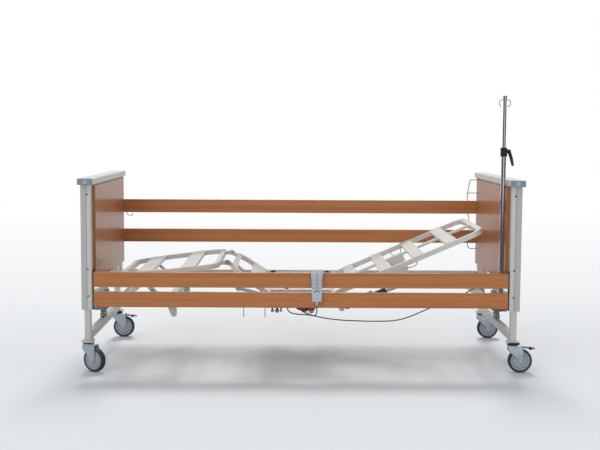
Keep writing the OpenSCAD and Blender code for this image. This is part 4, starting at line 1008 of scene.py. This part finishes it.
grip = arc((0.03, -0.06), 0.006, 100, -20, 6) + [(0.037, -0.07), (0.0335, -0.074), (0.0275, -0.066),
        (0.0225, -0.056)]
grip = [(narrow * x + 0.001, z) for x, z in grip]
for outline, low, high, edge in ((cheek, -0.013, -0.0088, 0.0012), (cheek, 0.0088, 0.013, 0.0012),
        (grip, -0.0105, 0.0105, 0.0015)):
    plate(lever, [(lever_pin.x + x, lever_pin.z + z) for x, z in outline],
          lever_pin.y + low, lever_pin.y + high, edge)
turned(lever, capped(0.003, -0.0132, 0.0132, 0.0006), lever_pin, (0, 1, 0), 24)
add("clamp_lever", lever, black_plastic, "pole_lever", "black_plastic", "pole_lever")

# Small bits: painted wire mattress loops under the backrest, a wire hook
# under the far top rail, and black release catches beside the section pivots.
def tube_along(name, points, diameter, steps=12):
    """A round bar or cord swept along points, each ring square to the line."""
    shape = bmesh.new()
    rings = []
    side = None
    for number, point in enumerate(points):
        ahead_point = points[min(number + 1, len(points) - 1)]
        heading = (ahead_point - points[max(number - 1, 0)]).normalized()
        if side is None:
            side = heading.cross(Vector((0, 0, 1)) if abs(heading.z) < 0.9 else Vector((0, 1,
                    0))).normalized()
        side = (side - heading * side.dot(heading)).normalized()
        other = heading.cross(side)
        rings.append([shape.verts.new(point + diameter / 2 * (cos(2 * pi * k / steps) * side
                + sin(2 * pi * k / steps) * other))
                      for k in range(steps)])
    lofted(shape, rings)
    return from_bmesh(name, shape, 60)


def smooth_route(points, per_span):
    """A smooth line through the points (Catmull-Rom)."""
    line = [Vector(point) for point in points]
    padded = [2 * line[0] - line[1]] + line + [2 * line[-1] - line[-2]]
    route = []
    for before, start, stop, after in zip(padded, padded[1:], padded[2:], padded[3:]):
        for k in range(per_span):
            t = k / per_span
            route.append(0.5 * (2 * start + (stop - before) * t
                                + (2 * before - 5 * start + 4 * stop - after) * t * t
                                + (3 * start - before - 3 * stop + after) * t ** 3))
    return route + [line[-1]]


def cornered(points, bend, per_bend=5):
    """Straight runs joined by round bends of the given reach."""
    line = [Vector(point) for point in points]
    route = [line[0]]
    for before, middle, after in zip(line, line[1:], line[2:]):
        start = middle + (before - middle).normalized() * min(bend, (before - middle).length * 0.45)
        stop = middle + (after - middle).normalized() * min(bend, (after - middle).length * 0.45)
        for k in range(per_bend + 1):
            t = k / per_bend
            route.append((1 - t) ** 2 * start + 2 * t * (1 - t) * middle + t * t * stop)
    return route + [line[-1]]


back_pivot = pin("backrest_hinge")
for name, across, along in (("far", 0.3, 0.395), ("near", -0.322, 0.418)):
    corners_flat = [(along - 0.03, 0.006), (along - 0.03, -0.02), (along - 0.016, -0.032),
                    (along + 0.02, -0.032), (along + 0.032, -0.022), (along + 0.032, 0.006)]
    route = [back_pivot + Matrix.Rotation(back_lean, 3, "Y") @ Vector((reach_along, across, height))
             for reach_along, height in corners_flat]
    loop = piece("wire_loop_" + name, tube_along("wire_loop_" + name, cornered(route, 0.009), 0.0058))
    own(loop, section_paint, "backrest", "section_paint")
hook_route = cornered(mm((-1037.5, 497.5, 751), (-1036, 497.5, 742), (-1026, 497.5, 733),
                         (-1008, 497.5, 730), (-1000, 497.5, 737), (-1004, 497.5, 746)), 0.006)
top_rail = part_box("far_rail_top")
hook_shift = Vector((0, top_rail[0].y + 0.012 - 0.4975, 0))
hook = piece("rail_hook", tube_along("rail_hook", [point + hook_shift for point in hook_route], 0.0046))
brass = coated("yellowed zinc wire", (0.56, 0.5, 0.34), 0.3, dull=(0.25, 0.15, 60.0, 2.0), Metallic=0.8)
own(hook, brass, "far_rail_top", "zinc")
catches = bmesh.new()
for along, lean in ((-0.16, 1), (0.16, -1)):
    outline = [(along - 0.013, 0.4105), (along + 0.013, 0.4105), (along + 0.015, 0.4165),
               (along + lean * 0.02, 0.4215), (along - lean * 0.01, 0.4205), (along - 0.014, 0.416)]
    plate(catches, outline, seat_side - 0.011, seat_side + 0.011, 0.0012)
add("pivot_catches", catches, black_plastic, "bed_frame", "black_plastic")

# Cords: the handset's lead hangs from the rail and runs under the frame to the
# control box; the motor lead sags from the box to the head end's lift motor.
cord_finish = coated("dark cord sheath", (0.045, 0.045, 0.047), 0.5, cloud=(60.0, 3.0, 0.8, 1.3),
                     dull=(0.45, 0.12, 90.0, 2.0))
cord_width = 0.006
handset_route = [
    (80, -508, 352), (80, -508, 338), (80, -507, 324), (78, -500, 310),
    (72, -488, 300), (62, -472, 295), (48, -452, 294), (30, -428, 292),
    (10, -400, 288), (-12, -368, 284), (-32, -336, 281), (-50, -304, 280),
    (-63, -272, 283), (-70, -246, 289), (-72, -224, 295), (-72, -212, 296), (-72, -203, 296)]
motor_route = [
    (-47, -145, 296), (-40, -145, 296), (-28, -145, 291), (-8, -144, 275),
    (20, -143, 256), (60, -142, 240), (110, -140, 228), (170, -138, 218),
    (240, -136, 211), (310, -134, 208), (380, -132, 206), (450, -130, 206),
    (510, -128, 209), (565, -127, 220), (620, -126, 240), (670, -125, 262),
    (720, -124, 284), (780, -122, 309), (840, -120, 334), (900, -118, 360),
    (928, -117, 376), (949, -116, 386), (967, -115, 388), (984, -114, 386),
    (998, -113, 375), (1010, -111, 358), (1026, -108, 343), (1048, -104, 333), (1066, -101, 331)]
for name, route, bodies, turn_start, turn_end in (
        ("handset_cord", handset_route, ("near_rail_top", "bed_frame"), 0, -1),
        ("motor_cord", motor_route, ("bed_frame", "head_base"), 24, -1)):
    path = smooth_route(mm(*route), 5)
    lead = piece("lead_" + name, tube_along("lead_" + name, path, cord_width, 14))
    lead.data.materials.append(cord_finish.material)
    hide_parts(name)
    length = sum((after - before).length for before, after in zip(path, path[1:]))
    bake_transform(lead)
